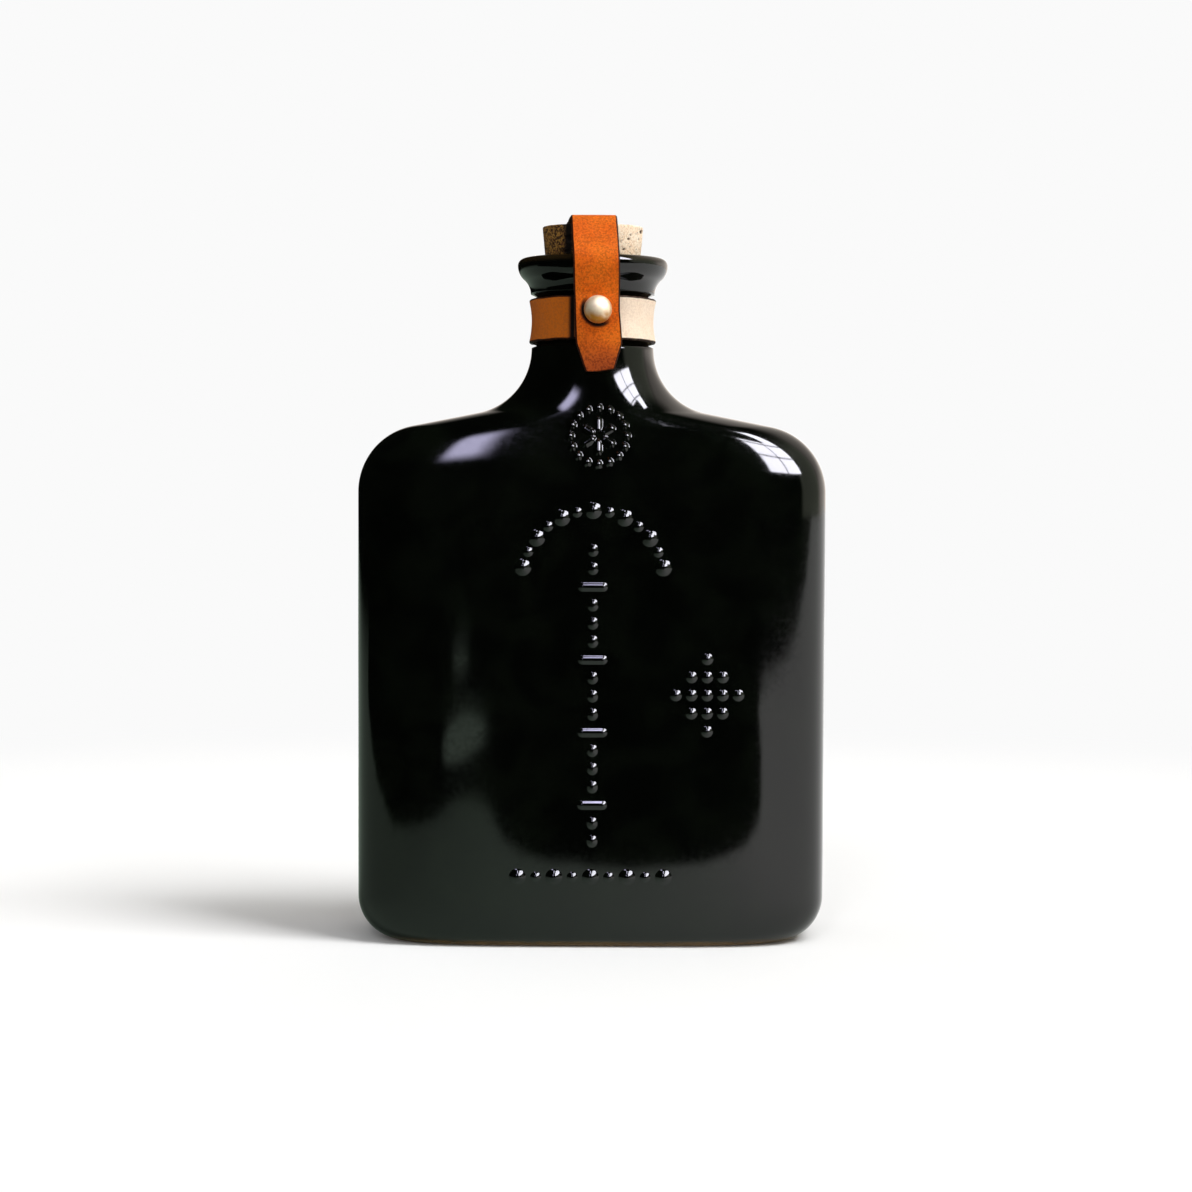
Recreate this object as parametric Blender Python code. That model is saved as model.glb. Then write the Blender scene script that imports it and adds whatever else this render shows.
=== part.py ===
"""Ceramic flask: glazed slip-cast body, tapered cork, leather neck band and a strap that buttons over it.

Metres, +Z up. The origin is the middle of the flat base, and the front faces -Y.
Run with: blender --background --python part.py
"""
import math

import bmesh
import bpy
from mathutils import Matrix, Vector

# Flask body in the front view
BODY_WIDTH = 0.0946
BASE_CORNER = 0.0088
SIDE_HEIGHT = 0.0905
SHOULDER_RADIUS = 0.0136
SHOULDER_SLOPE = math.radians(11.6)
NECK_FILLET = 0.0135
NECK_RADIUS = 0.0124

# Flask body in the side view
BODY_DEPTH = 0.0380
BASE_EDGE = 0.0030
FACE_HEIGHT = 0.0875

# Squareness of a level section: 2 is an ellipse, and a larger exponent has fuller corners
NECK_EXPONENT = 2.0
BODY_EXPONENT = 4.4
SQUARING = 0.8

WALL = 0.0035

# Neck, from its foot at the top of the fillet
NECK_LENGTH = 0.0181
COLLAR_RADIUS = 0.0126
LIP_RADIUS = 0.01525
LIP_ROUND = 0.0014
LIP_FLARE = 0.0058
MOUTH_ROUND = 0.0010

# Waist in the neck, where the band lies
WAIST_RADIUS = 0.0107
WAIST_HOLLOW = 0.0006
WAIST_MARGIN = 0.00025
WAIST_STEP = 0.0004

# Cork
CORK_TOP_RADIUS = 0.01025
CORK_BOTTOM_RADIUS = 0.00795
CORK_LENGTH = 0.0254
CORK_PROUD = 0.0063
CORK_EDGE = 0.0004

# Leather band, whose ends lap at the rear
BAND_HEIGHT = 0.0088
BAND_THICKNESS = 0.0014
BAND_CENTRE = 0.0050
BAND_FRONT_RISE = 0.0007
LAP_ANGLE = math.radians(54.0)
LAP_RAMP = math.radians(40.0)

# Leather strap
STRAP_WIDTH = 0.0093
STRAP_THICKNESS = 0.0014
STRAP_TIP_WIDTH = 0.0058
STRAP_TIP_LENGTH = 0.0056
STRAP_TIP_DROP = 0.0121
STRAP_TIP_LEAN = math.radians(3.5)
STRAP_LIP_STANDOFF = 0.0006
STRAP_LIP_BEND = 0.0030
STRAP_CORK_BEND = 0.0015
STRAP_STUD_BEND = 0.0040
STRAP_FLAT_ABOVE_STUD = 0.0036
TAIL_DROP = 0.0055
TAIL_CORNER = 0.0020
HINGE_ABOVE_BAND = 0.0014
SLIT_WIDTH = 0.0005
SLIT_LENGTH = 0.0028

# The band and what it carries sit a little round the neck from straight ahead
HARNESS_TURN = math.radians(3.5)

# Ball stud and its screw
STUD_RISE = 0.0015
BALL_RADIUS = 0.00277
STUD_NECK_RADIUS = 0.0016
STUD_FLANGE_RADIUS = 0.0025
STUD_FLANGE_THICKNESS = 0.0007
SCREW_HEAD_RADIUS = 0.0020
SCREW_HEAD_THICKNESS = 0.0005
SCREW_SHANK_RADIUS = 0.0010
SCREW_GRIP = 0.0024
SCREW_SLOT_WIDTH = 0.0006
SCREW_SLOT_DEPTH = 0.0002

# Rivet at the rear
RIVET_HEAD_RADIUS = 0.0024
RIVET_HEAD_THICKNESS = 0.0005
RIVET_STEM_RADIUS = 0.0011
RIVET_CAP_RADIUS = 0.0032
RIVET_CAP_HEIGHT = 0.0013
RIVET_CAP_RIM = 0.0004
RIVET_GRIP = 0.0006

# Clearances: resting pieces, round metal, under the pressed stud, and a cutter past the face it cuts
SEAT_GAP = 0.0003
METAL_GAP = 0.00015
PRESSED_GAP = 0.0001
OVERRUN = 0.0010

# Facets
BODY_SEGMENTS = 56
BAND_SEGMENTS = 60
CORK_SEGMENTS = 40
METAL_SEGMENTS = 24
SHARP_ANGLE = math.radians(35.0)

# Turns about X that point a piece made along +Z to the front or to the rear
FACING_FRONT = math.radians(90)
FACING_REAR = -math.radians(90)

HALF_WIDTH = BODY_WIDTH / 2
HALF_DEPTH = BODY_DEPTH / 2


def neck_foot():
    """Height at which the neck fillet, tangent to the shoulder's slope, turns upright."""
    tangent_x = HALF_WIDTH - SHOULDER_RADIUS * (1 - math.sin(SHOULDER_SLOPE))
    tangent_z = SIDE_HEIGHT + SHOULDER_RADIUS * math.cos(SHOULDER_SLOPE)
    run = tangent_x - NECK_RADIUS - NECK_FILLET
    return tangent_z + (NECK_FILLET + run * math.sin(SHOULDER_SLOPE)) / math.cos(SHOULDER_SLOPE)


NECK_FOOT = neck_foot()
LIP_TOP = NECK_FOOT + NECK_LENGTH
LIP_WIDEST = LIP_TOP - LIP_ROUND
CORK_TOP = LIP_TOP + CORK_PROUD
CORK_BOTTOM = CORK_TOP - CORK_LENGTH
BAND_MIDDLE = NECK_FOOT + BAND_CENTRE
BAND_TOP = BAND_MIDDLE + BAND_HEIGHT / 2
WAIST_MIDDLE = BAND_MIDDLE + BAND_FRONT_RISE / 2
WAIST_REACH = (BAND_HEIGHT + BAND_FRONT_RISE) / 2 + WAIST_MARGIN
BAND_STEP = BAND_THICKNESS + SEAT_GAP


def waist_radius(height):
    """Radius of the hourglass waist at a height."""
    return WAIST_RADIUS + WAIST_HOLLOW * ((height - WAIST_MIDDLE) / (BAND_HEIGHT / 2)) ** 2


STUD_HEIGHT = WAIST_MIDDLE + STUD_RISE
STUD_SEAT = waist_radius(STUD_HEIGHT + STUD_FLANGE_RADIUS) + BAND_STEP + PRESSED_GAP
STRAP_FRONT = STUD_SEAT + STUD_FLANGE_THICKNESS + METAL_GAP
STUD_NECK_END = STRAP_FRONT + STRAP_THICKNESS + METAL_GAP
BALL_CENTRE = STUD_NECK_END + math.sqrt(BALL_RADIUS ** 2 - STUD_NECK_RADIUS ** 2)
SCREW_BACK = waist_radius(STUD_HEIGHT + SCREW_HEAD_RADIUS) + METAL_GAP
RIVET_BACK = waist_radius(BAND_MIDDLE - RIVET_HEAD_RADIUS) + METAL_GAP
TAIL_INNER = waist_radius(BAND_TOP) + 2 * BAND_STEP + SEAT_GAP
TAIL_OUTER = TAIL_INNER + STRAP_THICKNESS
HINGE_HEIGHT = BAND_TOP + HINGE_ABOVE_BAND
HINGE_RADIUS = TAIL_INNER + STRAP_THICKNESS / 2


def clear_scene():
    """Removes what the open file holds, so that the model stands alone."""
    for item in list(bpy.data.objects):
        bpy.data.objects.remove(item, do_unlink=True)


def linear_colour(hex_code):
    """Linear RGBA of an sRGB colour written as six hex digits."""
    channels = []
    for start in (0, 2, 4):
        value = int(hex_code[start:start + 2], 16) / 255
        channels.append(value / 12.92 if value <= 0.04045 else ((value + 0.055) / 1.055) ** 2.4)
    return (*channels, 1.0)


def make_material(name, hex_code, roughness, metallic=0.0):
    """A Principled material with one colour."""
    material = bpy.data.materials.new(name)
    material.use_nodes = True
    shader = material.node_tree.nodes["Principled BSDF"]
    shader.inputs["Base Color"].default_value = linear_colour(hex_code)
    shader.inputs["Roughness"].default_value = roughness
    shader.inputs["Metallic"].default_value = metallic
    return material


def make_empty(name, location, parent=None):
    """An empty that carries other pieces."""
    empty = bpy.data.objects.new(name, None)
    bpy.context.collection.objects.link(empty)
    empty.location = location
    empty.parent = parent
    return empty


def make_object(name, bm, material, parent=None, location=(0, 0, 0)):
    """Turns a bmesh into a named, smooth-shaded object."""
    bmesh.ops.recalc_face_normals(bm, faces=bm.faces)
    mesh = bpy.data.meshes.new(name)
    bm.to_mesh(mesh)
    bm.free()
    mesh.materials.append(material)
    mesh.shade_smooth()
    mesh.set_sharp_from_angle(angle=SHARP_ANGLE)
    item = bpy.data.objects.new(name, mesh)
    bpy.context.collection.objects.link(item)
    item.parent = parent
    item.location = location
    return item


def skin(rings):
    """A closed loft through rings that have the same number of points, capped at both ends."""
    bm = bmesh.new()
    loops = [[bm.verts.new(point) for point in ring] for ring in rings]
    for low, high in zip(loops, loops[1:]):
        for index, corner in enumerate(low):
            following = (index + 1) % len(low)
            bm.faces.new((corner, low[following], high[following], high[index]))
    bm.faces.new(reversed(loops[0]))
    bm.faces.new(loops[-1])
    return bm


def turned(profile, segments):
    """A solid of revolution about Z. The profile's (radius, height) points start and end on the axis."""
    bm = bmesh.new()
    points = [bm.verts.new((radius, 0, height)) for radius, height in profile]
    edges = [bm.edges.new(pair) for pair in zip(points, points[1:])]
    bmesh.ops.spin(
        bm, geom=points + edges, cent=(0, 0, 0), axis=(0, 0, 1), angle=math.tau, steps=segments, use_merge=True
    )
    bmesh.ops.remove_doubles(bm, verts=bm.verts, dist=SEAT_GAP / segments)
    return bm


def arc(centre, radius, start, end, steps):
    """Points on an arc about a 2D centre, between two angles, both ends included."""
    points = []
    for step in range(steps + 1):
        angle = start + (end - start) * step / steps
        points.append((centre[0] + radius * math.cos(angle), centre[1] + radius * math.sin(angle)))
    return points


def s_curve_radius(height, low, high):
    """Radius at a height between two upright ends, (radius, height) each, joined by two equal arcs."""
    rise = high[1] - low[1]
    swing = high[0] - low[0]
    bend = (swing ** 2 + rise ** 2) / (4 * abs(swing))
    along = min(max(height - low[1], 0), rise)
    if along <= rise / 2:
        return low[0] + math.copysign(bend - math.sqrt(bend ** 2 - along ** 2), swing)
    return high[0] - math.copysign(bend - math.sqrt(bend ** 2 - (rise - along) ** 2), swing)


def cork_radius(height):
    """Radius of the cork's taper at a height."""
    share = (height - CORK_BOTTOM) / CORK_LENGTH
    return CORK_BOTTOM_RADIUS + (CORK_TOP_RADIUS - CORK_BOTTOM_RADIUS) * share


def half_depth(height):
    """Half of the body's depth at a height, in the side view."""
    if height < BASE_EDGE:
        return HALF_DEPTH - BASE_EDGE + math.sqrt(BASE_EDGE ** 2 - (BASE_EDGE - max(height, 0)) ** 2)
    return s_curve_radius(height, (HALF_DEPTH, FACE_HEIGHT), (NECK_RADIUS, NECK_FOOT))


def section(half_x, half_y, exponent, height):
    """One level ring of the body, between an ellipse and a rounded rectangle."""
    ring = []
    for index in range(BODY_SEGMENTS):
        angle = math.tau * index / BODY_SEGMENTS
        across = math.cos(angle)
        along = math.sin(angle)
        reach = (abs(across) ** exponent + abs(along) ** exponent) ** (-1 / exponent)
        ring.append(Vector((half_x * reach * across, half_y * reach * along, height)))
    return ring


def front_outline(offset, base_steps, shoulder_steps, fillet_steps):
    """The front view's outline from base to neck foot, moved inward by an offset, as (half width, height).

    Each point comes with the exponent of its level section.
    """
    upright = math.radians(90) - SHOULDER_SLOPE
    base_centre = (HALF_WIDTH - BASE_CORNER, BASE_CORNER)
    shoulder_centre = (HALF_WIDTH - SHOULDER_RADIUS, SIDE_HEIGHT)
    fillet_centre = (NECK_RADIUS + NECK_FILLET, NECK_FOOT)
    base = arc(base_centre, BASE_CORNER - offset, -math.radians(90), 0, base_steps)
    shoulder = arc(shoulder_centre, SHOULDER_RADIUS - offset, 0, upright, shoulder_steps)
    half_turn = math.radians(180)
    fillet = arc(fillet_centre, NECK_FILLET + offset, half_turn + upright, half_turn, fillet_steps)
    outline = []
    for half_x, height in base + shoulder + fillet:
        share = max(half_x + offset - NECK_RADIUS, 0) / (HALF_WIDTH - NECK_RADIUS)
        outline.append((half_x, height, NECK_EXPONENT + (BODY_EXPONENT - NECK_EXPONENT) * share ** SQUARING))
    return outline


def neck_profile():
    """The neck's (radius, height) points: waist, flare, lip, mouth and the tapered bore down inside it."""
    points = []
    for step in range(7):
        height = WAIST_MIDDLE + WAIST_REACH * (step - 3) / 3
        points.append((waist_radius(height), height))
    points.append((COLLAR_RADIUS, WAIST_MIDDLE + WAIST_REACH + WAIST_STEP))
    flare_start = LIP_WIDEST - LIP_FLARE
    for step in range(9):
        height = flare_start + LIP_FLARE * step / 8
        radius = s_curve_radius(height, (COLLAR_RADIUS, flare_start), (LIP_RADIUS, LIP_WIDEST))
        points.append((radius, height))
    points += arc((LIP_RADIUS - LIP_ROUND, LIP_WIDEST), LIP_ROUND, 0, math.radians(90), 5)[1:]
    mouth = LIP_TOP - MOUTH_ROUND
    mouth_radius = cork_radius(mouth) + SEAT_GAP
    points += arc((mouth_radius + MOUTH_ROUND, mouth), MOUTH_ROUND, math.radians(90), math.radians(180), 3)
    for height in (BAND_TOP, NECK_FOOT + MOUTH_ROUND):
        points.append((cork_radius(height) + SEAT_GAP, height))
    return points


def build_flask_body(material):
    """The hollow body, lofted up the outside, over the lip and down the inside to the floor."""
    rings = []
    for half_x, height, exponent in front_outline(0, 8, 8, 8):
        rings.append(section(half_x, half_depth(height), exponent, height))
    for radius, height in neck_profile():
        rings.append(section(radius, radius, NECK_EXPONENT, height))
    for half_x, height, exponent in reversed(front_outline(WALL, 4, 5, 4)):
        depth = min(half_depth(height), half_depth(height - WALL)) - WALL
        rings.append(section(half_x, depth, exponent, height))
    return make_object("flask_body", skin(rings), material)


def build_cork(material):
    """The tapered cork, with its origin at the middle of its lower end."""
    top_slope = (CORK_TOP_RADIUS - CORK_BOTTOM_RADIUS) / CORK_LENGTH * CORK_EDGE
    profile = [
        (0, 0),
        (CORK_BOTTOM_RADIUS - CORK_EDGE, 0),
        (CORK_BOTTOM_RADIUS + top_slope, CORK_EDGE),
        (CORK_TOP_RADIUS - top_slope, CORK_LENGTH - CORK_EDGE),
        (CORK_TOP_RADIUS - CORK_EDGE, CORK_LENGTH),
        (0, CORK_LENGTH),
    ]
    return make_object("cork", turned(profile, CORK_SEGMENTS), material, location=(0, 0, CORK_BOTTOM))


def make_cutter(name, bm, parent, location):
    """An object that only cuts: drawn as wire and never rendered."""
    mesh = bpy.data.meshes.new(name)
    bm.to_mesh(mesh)
    bm.free()
    cutter = bpy.data.objects.new(name, mesh)
    bpy.context.collection.objects.link(cutter)
    cutter.parent = parent
    cutter.location = location
    cutter.hide_render = True
    cutter.display_type = "WIRE"
    return cutter


def hole_cutter(name, harness, steps, height, facing):
    """A round cutter along Y. Each step is (radius, start, end), measured outward from the neck's axis."""
    profile = [(0, steps[0][1])]
    for radius, start, end in steps:
        profile += [(radius, start), (radius, end)]
    profile.append((0, steps[-1][2]))
    bm = turned(profile, METAL_SEGMENTS)
    half_facet = Matrix.Rotation(math.pi / METAL_SEGMENTS, 3, "Z")
    bmesh.ops.rotate(bm, verts=bm.verts, matrix=Matrix.Rotation(facing, 3, "X") @ half_facet)
    bmesh.ops.recalc_face_normals(bm, faces=bm.faces)
    return make_cutter(name, bm, harness, (0, 0, height))


def cut(item, cutter):
    """Subtracts a cutter from a piece."""
    boolean = item.modifiers.new(cutter.name, "BOOLEAN")
    boolean.operation = "DIFFERENCE"
    boolean.object = cutter


def band_section(lift, angle):
    """One upright slice of the band at an angle from the rear, moved outward by a lift."""
    rise = BAND_FRONT_RISE * (1 - math.cos(angle)) / 2
    inner = []
    outer = []
    for step in range(5):
        height = BAND_MIDDLE + rise + BAND_HEIGHT * (step - 2) / 4
        radius = waist_radius(height) + SEAT_GAP + lift
        inner.append((radius, height))
        outer.append((radius + BAND_THICKNESS, height))
    ring = []
    for radius, height in outer + inner[::-1]:
        ring.append(Vector((-radius * math.sin(angle), radius * math.cos(angle), height)))
    return ring


def build_neck_band(harness, material):
    """The leather band: a strip round the waist, whose outer end laps over the inner one at the rear."""
    start = -LAP_ANGLE / 2
    turn = math.tau + LAP_ANGLE
    rings = []
    for step in range(BAND_SEGMENTS + 1):
        angle = start + turn * step / BAND_SEGMENTS
        climb = min(max((angle - (math.tau + start - LAP_RAMP)) / LAP_RAMP, 0), 1)
        lift = BAND_STEP * climb ** 2 * (3 - 2 * climb)
        rings.append(band_section(lift, angle))
    band = make_object("neck_band", skin(rings), material, harness)
    inside = WAIST_RADIUS - OVERRUN
    screw_recess = SCREW_BACK + SCREW_HEAD_THICKNESS + METAL_GAP
    screw_steps = (
        (SCREW_HEAD_RADIUS + METAL_GAP, inside, screw_recess),
        (SCREW_SHANK_RADIUS + METAL_GAP, screw_recess, STUD_SEAT + OVERRUN),
    )
    rivet_recess = RIVET_BACK + RIVET_HEAD_THICKNESS + METAL_GAP
    rivet_steps = (
        (RIVET_HEAD_RADIUS + METAL_GAP, inside, rivet_recess),
        (RIVET_STEM_RADIUS + METAL_GAP, rivet_recess, TAIL_INNER + OVERRUN),
    )
    cut(band, hole_cutter("cut_screw_hole", harness, screw_steps, STUD_HEIGHT, FACING_FRONT))
    cut(band, hole_cutter("cut_rivet_hole", harness, rivet_steps, BAND_MIDDLE, FACING_REAR))
    return band


def rounded_path(corners, steps):
    """Points along straight runs joined by arcs, each with the unit normal on the path's right."""
    first, last = corners[0][0], corners[-1][0]
    opening = (corners[1][0] - first).normalized()
    path = [(first, Vector((opening.y, -opening.x)))]
    for before, (corner, radius), after in zip(corners, corners[1:], corners[2:]):
        arrive = (corner - before[0]).normalized()
        leave = (after[0] - corner).normalized()
        turn = math.atan2(arrive.x * leave.y - arrive.y * leave.x, arrive.dot(leave))
        start = corner - arrive * radius * math.tan(abs(turn) / 2)
        side = -math.copysign(1, turn)
        centre = start + Vector((arrive.y, -arrive.x)) * radius * side
        for step in range(steps + 1):
            angle = turn * step / steps
            heading = Vector((
                arrive.x * math.cos(angle) - arrive.y * math.sin(angle),
                arrive.x * math.sin(angle) + arrive.y * math.cos(angle),
            ))
            normal = Vector((heading.y, -heading.x))
            path.append((centre - normal * radius * side, normal))
    closing = (last - corners[-2][0]).normalized()
    path.append((last, Vector((closing.y, -closing.x))))
    return path


def strap_path():
    """The strap's inner face in the side view, as (Y, height), from the hinge over the cork to the tip."""
    lip = LIP_RADIUS + STRAP_LIP_STANDOFF
    cork_edge = CORK_TOP_RADIUS + SEAT_GAP
    over_cork = CORK_TOP + SEAT_GAP
    tip = STUD_HEIGHT - STRAP_TIP_DROP
    taper_start = tip + STRAP_TIP_LENGTH
    corners = (
        (Vector((TAIL_INNER, HINGE_HEIGHT + SEAT_GAP / 2)), 0),
        (Vector((lip, LIP_WIDEST)), STRAP_LIP_BEND),
        (Vector((cork_edge, over_cork)), STRAP_CORK_BEND),
        (Vector((-cork_edge, over_cork)), STRAP_CORK_BEND),
        (Vector((-lip, LIP_WIDEST)), STRAP_LIP_BEND),
        (Vector((-STRAP_FRONT, STUD_HEIGHT + STRAP_FLAT_ABOVE_STUD)), STRAP_STUD_BEND),
        (Vector((-STRAP_FRONT, taper_start)), 0),
        (Vector((-STRAP_FRONT, tip)), 0),
    )
    straight = rounded_path(corners[:6] + corners[7:], 5)
    return straight[:-1] + [(corners[6][0], straight[-1][1])] + straight[-1:]


def strap_half_width(height, front):
    """Half of the strap's width, which tapers at the clipped tip."""
    above_tip = height - (STUD_HEIGHT - STRAP_TIP_DROP)
    if not front or above_tip >= STRAP_TIP_LENGTH:
        return STRAP_WIDTH / 2
    share = above_tip / STRAP_TIP_LENGTH
    return (STRAP_TIP_WIDTH + (STRAP_WIDTH - STRAP_TIP_WIDTH) * share) / 2


def build_strap(hinge, harness, material):
    """The swinging length of the strap, with its origin on the bend at the rear."""
    rings = []
    for point, normal in strap_path():
        front = point.x < 0
        half = strap_half_width(point.y, front)
        lean = math.tan(STRAP_TIP_LEAN) * max(STUD_HEIGHT - point.y, 0) if front else 0
        outer = point + normal * STRAP_THICKNESS
        ring = []
        for side, face in ((-half, point), (half, point), (half, outer), (-half, outer)):
            ring.append(Vector((lean + side, face.x - HINGE_RADIUS, face.y - HINGE_HEIGHT)))
        rings.append(ring)
    strap = make_object("strap", skin(rings), material, hinge)
    hole = STUD_NECK_RADIUS + SEAT_GAP
    inner = STRAP_FRONT - OVERRUN
    outer = STRAP_FRONT + STRAP_THICKNESS + OVERRUN
    cut(strap, hole_cutter("cut_button_hole", harness, ((hole, inner, outer),), STUD_HEIGHT, FACING_FRONT))
    slit = bmesh.new()
    bmesh.ops.create_cube(slit, size=1)
    bmesh.ops.scale(slit, verts=slit.verts, vec=(SLIT_WIDTH, outer - inner, SLIT_LENGTH))
    slit_height = STUD_HEIGHT + hole - SEAT_GAP + SLIT_LENGTH / 2
    cut(strap, make_cutter("cut_slit", slit, harness, (0, -(inner + outer) / 2, slit_height)))
    return strap


def build_strap_tail(harness, material):
    """The riveted end of the strap, below the bend, with rounded lower corners."""
    top = HINGE_HEIGHT - SEAT_GAP / 2
    bottom = BAND_MIDDLE - TAIL_DROP
    side = STRAP_WIDTH / 2 - TAIL_CORNER
    corner = bottom + TAIL_CORNER
    outline = [(STRAP_WIDTH / 2, top), (-STRAP_WIDTH / 2, top)]
    outline += arc((-side, corner), TAIL_CORNER, math.radians(180), math.radians(270), 4)
    outline += arc((side, corner), TAIL_CORNER, math.radians(270), math.radians(360), 4)
    rings = [[Vector((x, y, z)) for x, z in outline] for y in (TAIL_INNER, TAIL_OUTER)]
    tail = make_object("strap_tail", skin(rings), material, harness)
    hole = RIVET_STEM_RADIUS + METAL_GAP
    steps = ((hole, TAIL_INNER - OVERRUN, TAIL_OUTER + OVERRUN),)
    cut(tail, hole_cutter("cut_tail_hole", harness, steps, BAND_MIDDLE, FACING_REAR))
    return tail


def build_ball_stud(harness, material):
    """Flange, neck and ball head in one, with a blind hole in its back for the screw."""
    hole = SCREW_SHANK_RADIUS + METAL_GAP
    neck_start = STUD_FLANGE_THICKNESS
    centre = BALL_CENTRE - STUD_SEAT
    hole_end = SCREW_GRIP + METAL_GAP
    waist = math.asin(STUD_NECK_RADIUS / BALL_RADIUS)
    profile = [(0, hole_end), (hole, hole_end), (hole, 0), (STUD_FLANGE_RADIUS, 0)]
    profile += [(STUD_FLANGE_RADIUS, neck_start), (STUD_NECK_RADIUS, neck_start)]
    profile += arc((0, centre), BALL_RADIUS, waist - math.radians(90), math.radians(90), 9)[:-1]
    profile.append((0, centre + BALL_RADIUS))
    stud = make_object("ball_stud", turned(profile, METAL_SEGMENTS), material, harness)
    stud.location = (0, -STUD_SEAT, STUD_HEIGHT)
    stud.rotation_euler = (FACING_FRONT, 0, 0)
    return stud


def build_stud_screw(harness, material):
    """Flat slotted head inside the band, with a shank that enters the stud."""
    shank_end = STUD_SEAT + SCREW_GRIP - SCREW_BACK
    profile = [
        (0, 0),
        (SCREW_HEAD_RADIUS, 0),
        (SCREW_HEAD_RADIUS, SCREW_HEAD_THICKNESS),
        (SCREW_SHANK_RADIUS, SCREW_HEAD_THICKNESS),
        (SCREW_SHANK_RADIUS, shank_end),
        (0, shank_end),
    ]
    screw = make_object("stud_screw", turned(profile, METAL_SEGMENTS), material, harness)
    screw.location = (0, -SCREW_BACK, STUD_HEIGHT)
    screw.rotation_euler = (FACING_FRONT, 0, 0)
    slot = bmesh.new()
    bmesh.ops.create_cube(slot, size=1)
    length = SCREW_HEAD_RADIUS * 2 + OVERRUN
    bmesh.ops.scale(slot, verts=slot.verts, vec=(length, SCREW_SLOT_DEPTH * 2, SCREW_SLOT_WIDTH))
    cut(screw, make_cutter("cut_screw_slot", slot, harness, (0, -SCREW_BACK, STUD_HEIGHT)))
    return screw


def build_rivet_post(harness, material):
    """Flat head inside the band, with a stem through both lapped ends and the strap."""
    stem_end = TAIL_OUTER + METAL_GAP + RIVET_GRIP - RIVET_BACK
    profile = [
        (0, 0),
        (RIVET_HEAD_RADIUS, 0),
        (RIVET_HEAD_RADIUS, RIVET_HEAD_THICKNESS),
        (RIVET_STEM_RADIUS, RIVET_HEAD_THICKNESS),
        (RIVET_STEM_RADIUS, stem_end),
        (0, stem_end),
    ]
    post = make_object("rivet_post", turned(profile, METAL_SEGMENTS), material, harness)
    post.location = (0, RIVET_BACK, BAND_MIDDLE)
    post.rotation_euler = (FACING_REAR, 0, 0)
    return post


def build_rivet_cap(harness, material):
    """Domed cap pressed on the stem, outside the strap's end."""
    hole = RIVET_STEM_RADIUS + METAL_GAP
    hole_end = RIVET_GRIP + METAL_GAP
    dome = RIVET_CAP_HEIGHT - RIVET_CAP_RIM
    profile = [(0, hole_end), (hole, hole_end), (hole, 0), (RIVET_CAP_RADIUS, 0)]
    for step in range(7):
        angle = math.radians(90) * step / 6
        profile.append((RIVET_CAP_RADIUS * math.cos(angle), RIVET_CAP_RIM + dome * math.sin(angle)))
    profile[-1] = (0, RIVET_CAP_HEIGHT)
    cap = make_object("rivet_cap", turned(profile, METAL_SEGMENTS), material, harness)
    cap.location = (0, TAIL_OUTER + METAL_GAP, BAND_MIDDLE)
    cap.rotation_euler = (FACING_REAR, 0, 0)
    return cap


def build_flask():
    """Builds every piece and hangs the leatherwork on its empties."""
    clear_scene()
    glaze = make_material("black_glaze", "141a14", 0.06)
    cork_wood = make_material("natural_cork", "c9a57c", 0.85)
    natural_leather = make_material("natural_leather", "dba878", 0.6)
    russet_leather = make_material("russet_leather", "b9581f", 0.5)
    brass = make_material("polished_brass", "c9a765", 0.25, 1.0)
    build_flask_body(glaze)
    build_cork(cork_wood)
    harness = make_empty("harness_turn", (0, 0, 0))
    harness.rotation_euler = (0, 0, HARNESS_TURN)
    hinge = make_empty("strap_bend", (0, HINGE_RADIUS, HINGE_HEIGHT), harness)
    build_neck_band(harness, natural_leather)
    build_strap(hinge, harness, russet_leather)
    build_strap_tail(harness, russet_leather)
    build_ball_stud(harness, brass)
    build_stud_screw(harness, brass)
    build_rivet_post(harness, brass)
    build_rivet_cap(harness, brass)


build_flask()
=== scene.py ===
"""Studio picture of the ceramic flask: glazed body, cork, leather band and strap, brass stud and rivet.

Metres, +Z up, front towards -Y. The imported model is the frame, and the pieces here are the fine surfaces
of its parts and the relief on the glaze.
"""

import math

import bmesh
import bpy
from mathutils import Matrix, Vector, noise


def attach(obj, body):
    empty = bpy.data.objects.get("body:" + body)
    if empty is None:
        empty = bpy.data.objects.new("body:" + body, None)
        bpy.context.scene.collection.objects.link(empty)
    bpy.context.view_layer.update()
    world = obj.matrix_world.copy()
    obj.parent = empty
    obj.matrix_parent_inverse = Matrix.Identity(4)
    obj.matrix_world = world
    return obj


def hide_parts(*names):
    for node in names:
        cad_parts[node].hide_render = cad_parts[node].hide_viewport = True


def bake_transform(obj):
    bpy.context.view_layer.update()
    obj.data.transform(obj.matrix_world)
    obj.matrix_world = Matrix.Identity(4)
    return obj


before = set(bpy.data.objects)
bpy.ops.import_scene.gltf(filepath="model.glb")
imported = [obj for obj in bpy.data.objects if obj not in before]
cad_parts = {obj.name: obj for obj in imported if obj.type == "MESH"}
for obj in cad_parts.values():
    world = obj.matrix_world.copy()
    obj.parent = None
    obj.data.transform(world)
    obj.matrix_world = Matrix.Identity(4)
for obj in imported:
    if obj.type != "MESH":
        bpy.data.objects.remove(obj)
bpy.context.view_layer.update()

# Flask body, as in the solid model
BODY_WIDTH = 0.0946
BODY_DEPTH = 0.0380
BASE_CORNER = 0.0088
BASE_EDGE = 0.0030
SIDE_HEIGHT = 0.0905
FACE_HEIGHT = 0.0875
SHOULDER_RADIUS = 0.0136
SHOULDER_SLOPE = math.radians(11.6)
NECK_FILLET = 0.0135
NECK_RADIUS = 0.0124
BODY_EXPONENT = 4.4
SQUARING = 0.8
WALL = 0.0035
BODY_SEGMENTS = 256
CAST_WANDER = 0.00006
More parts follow.
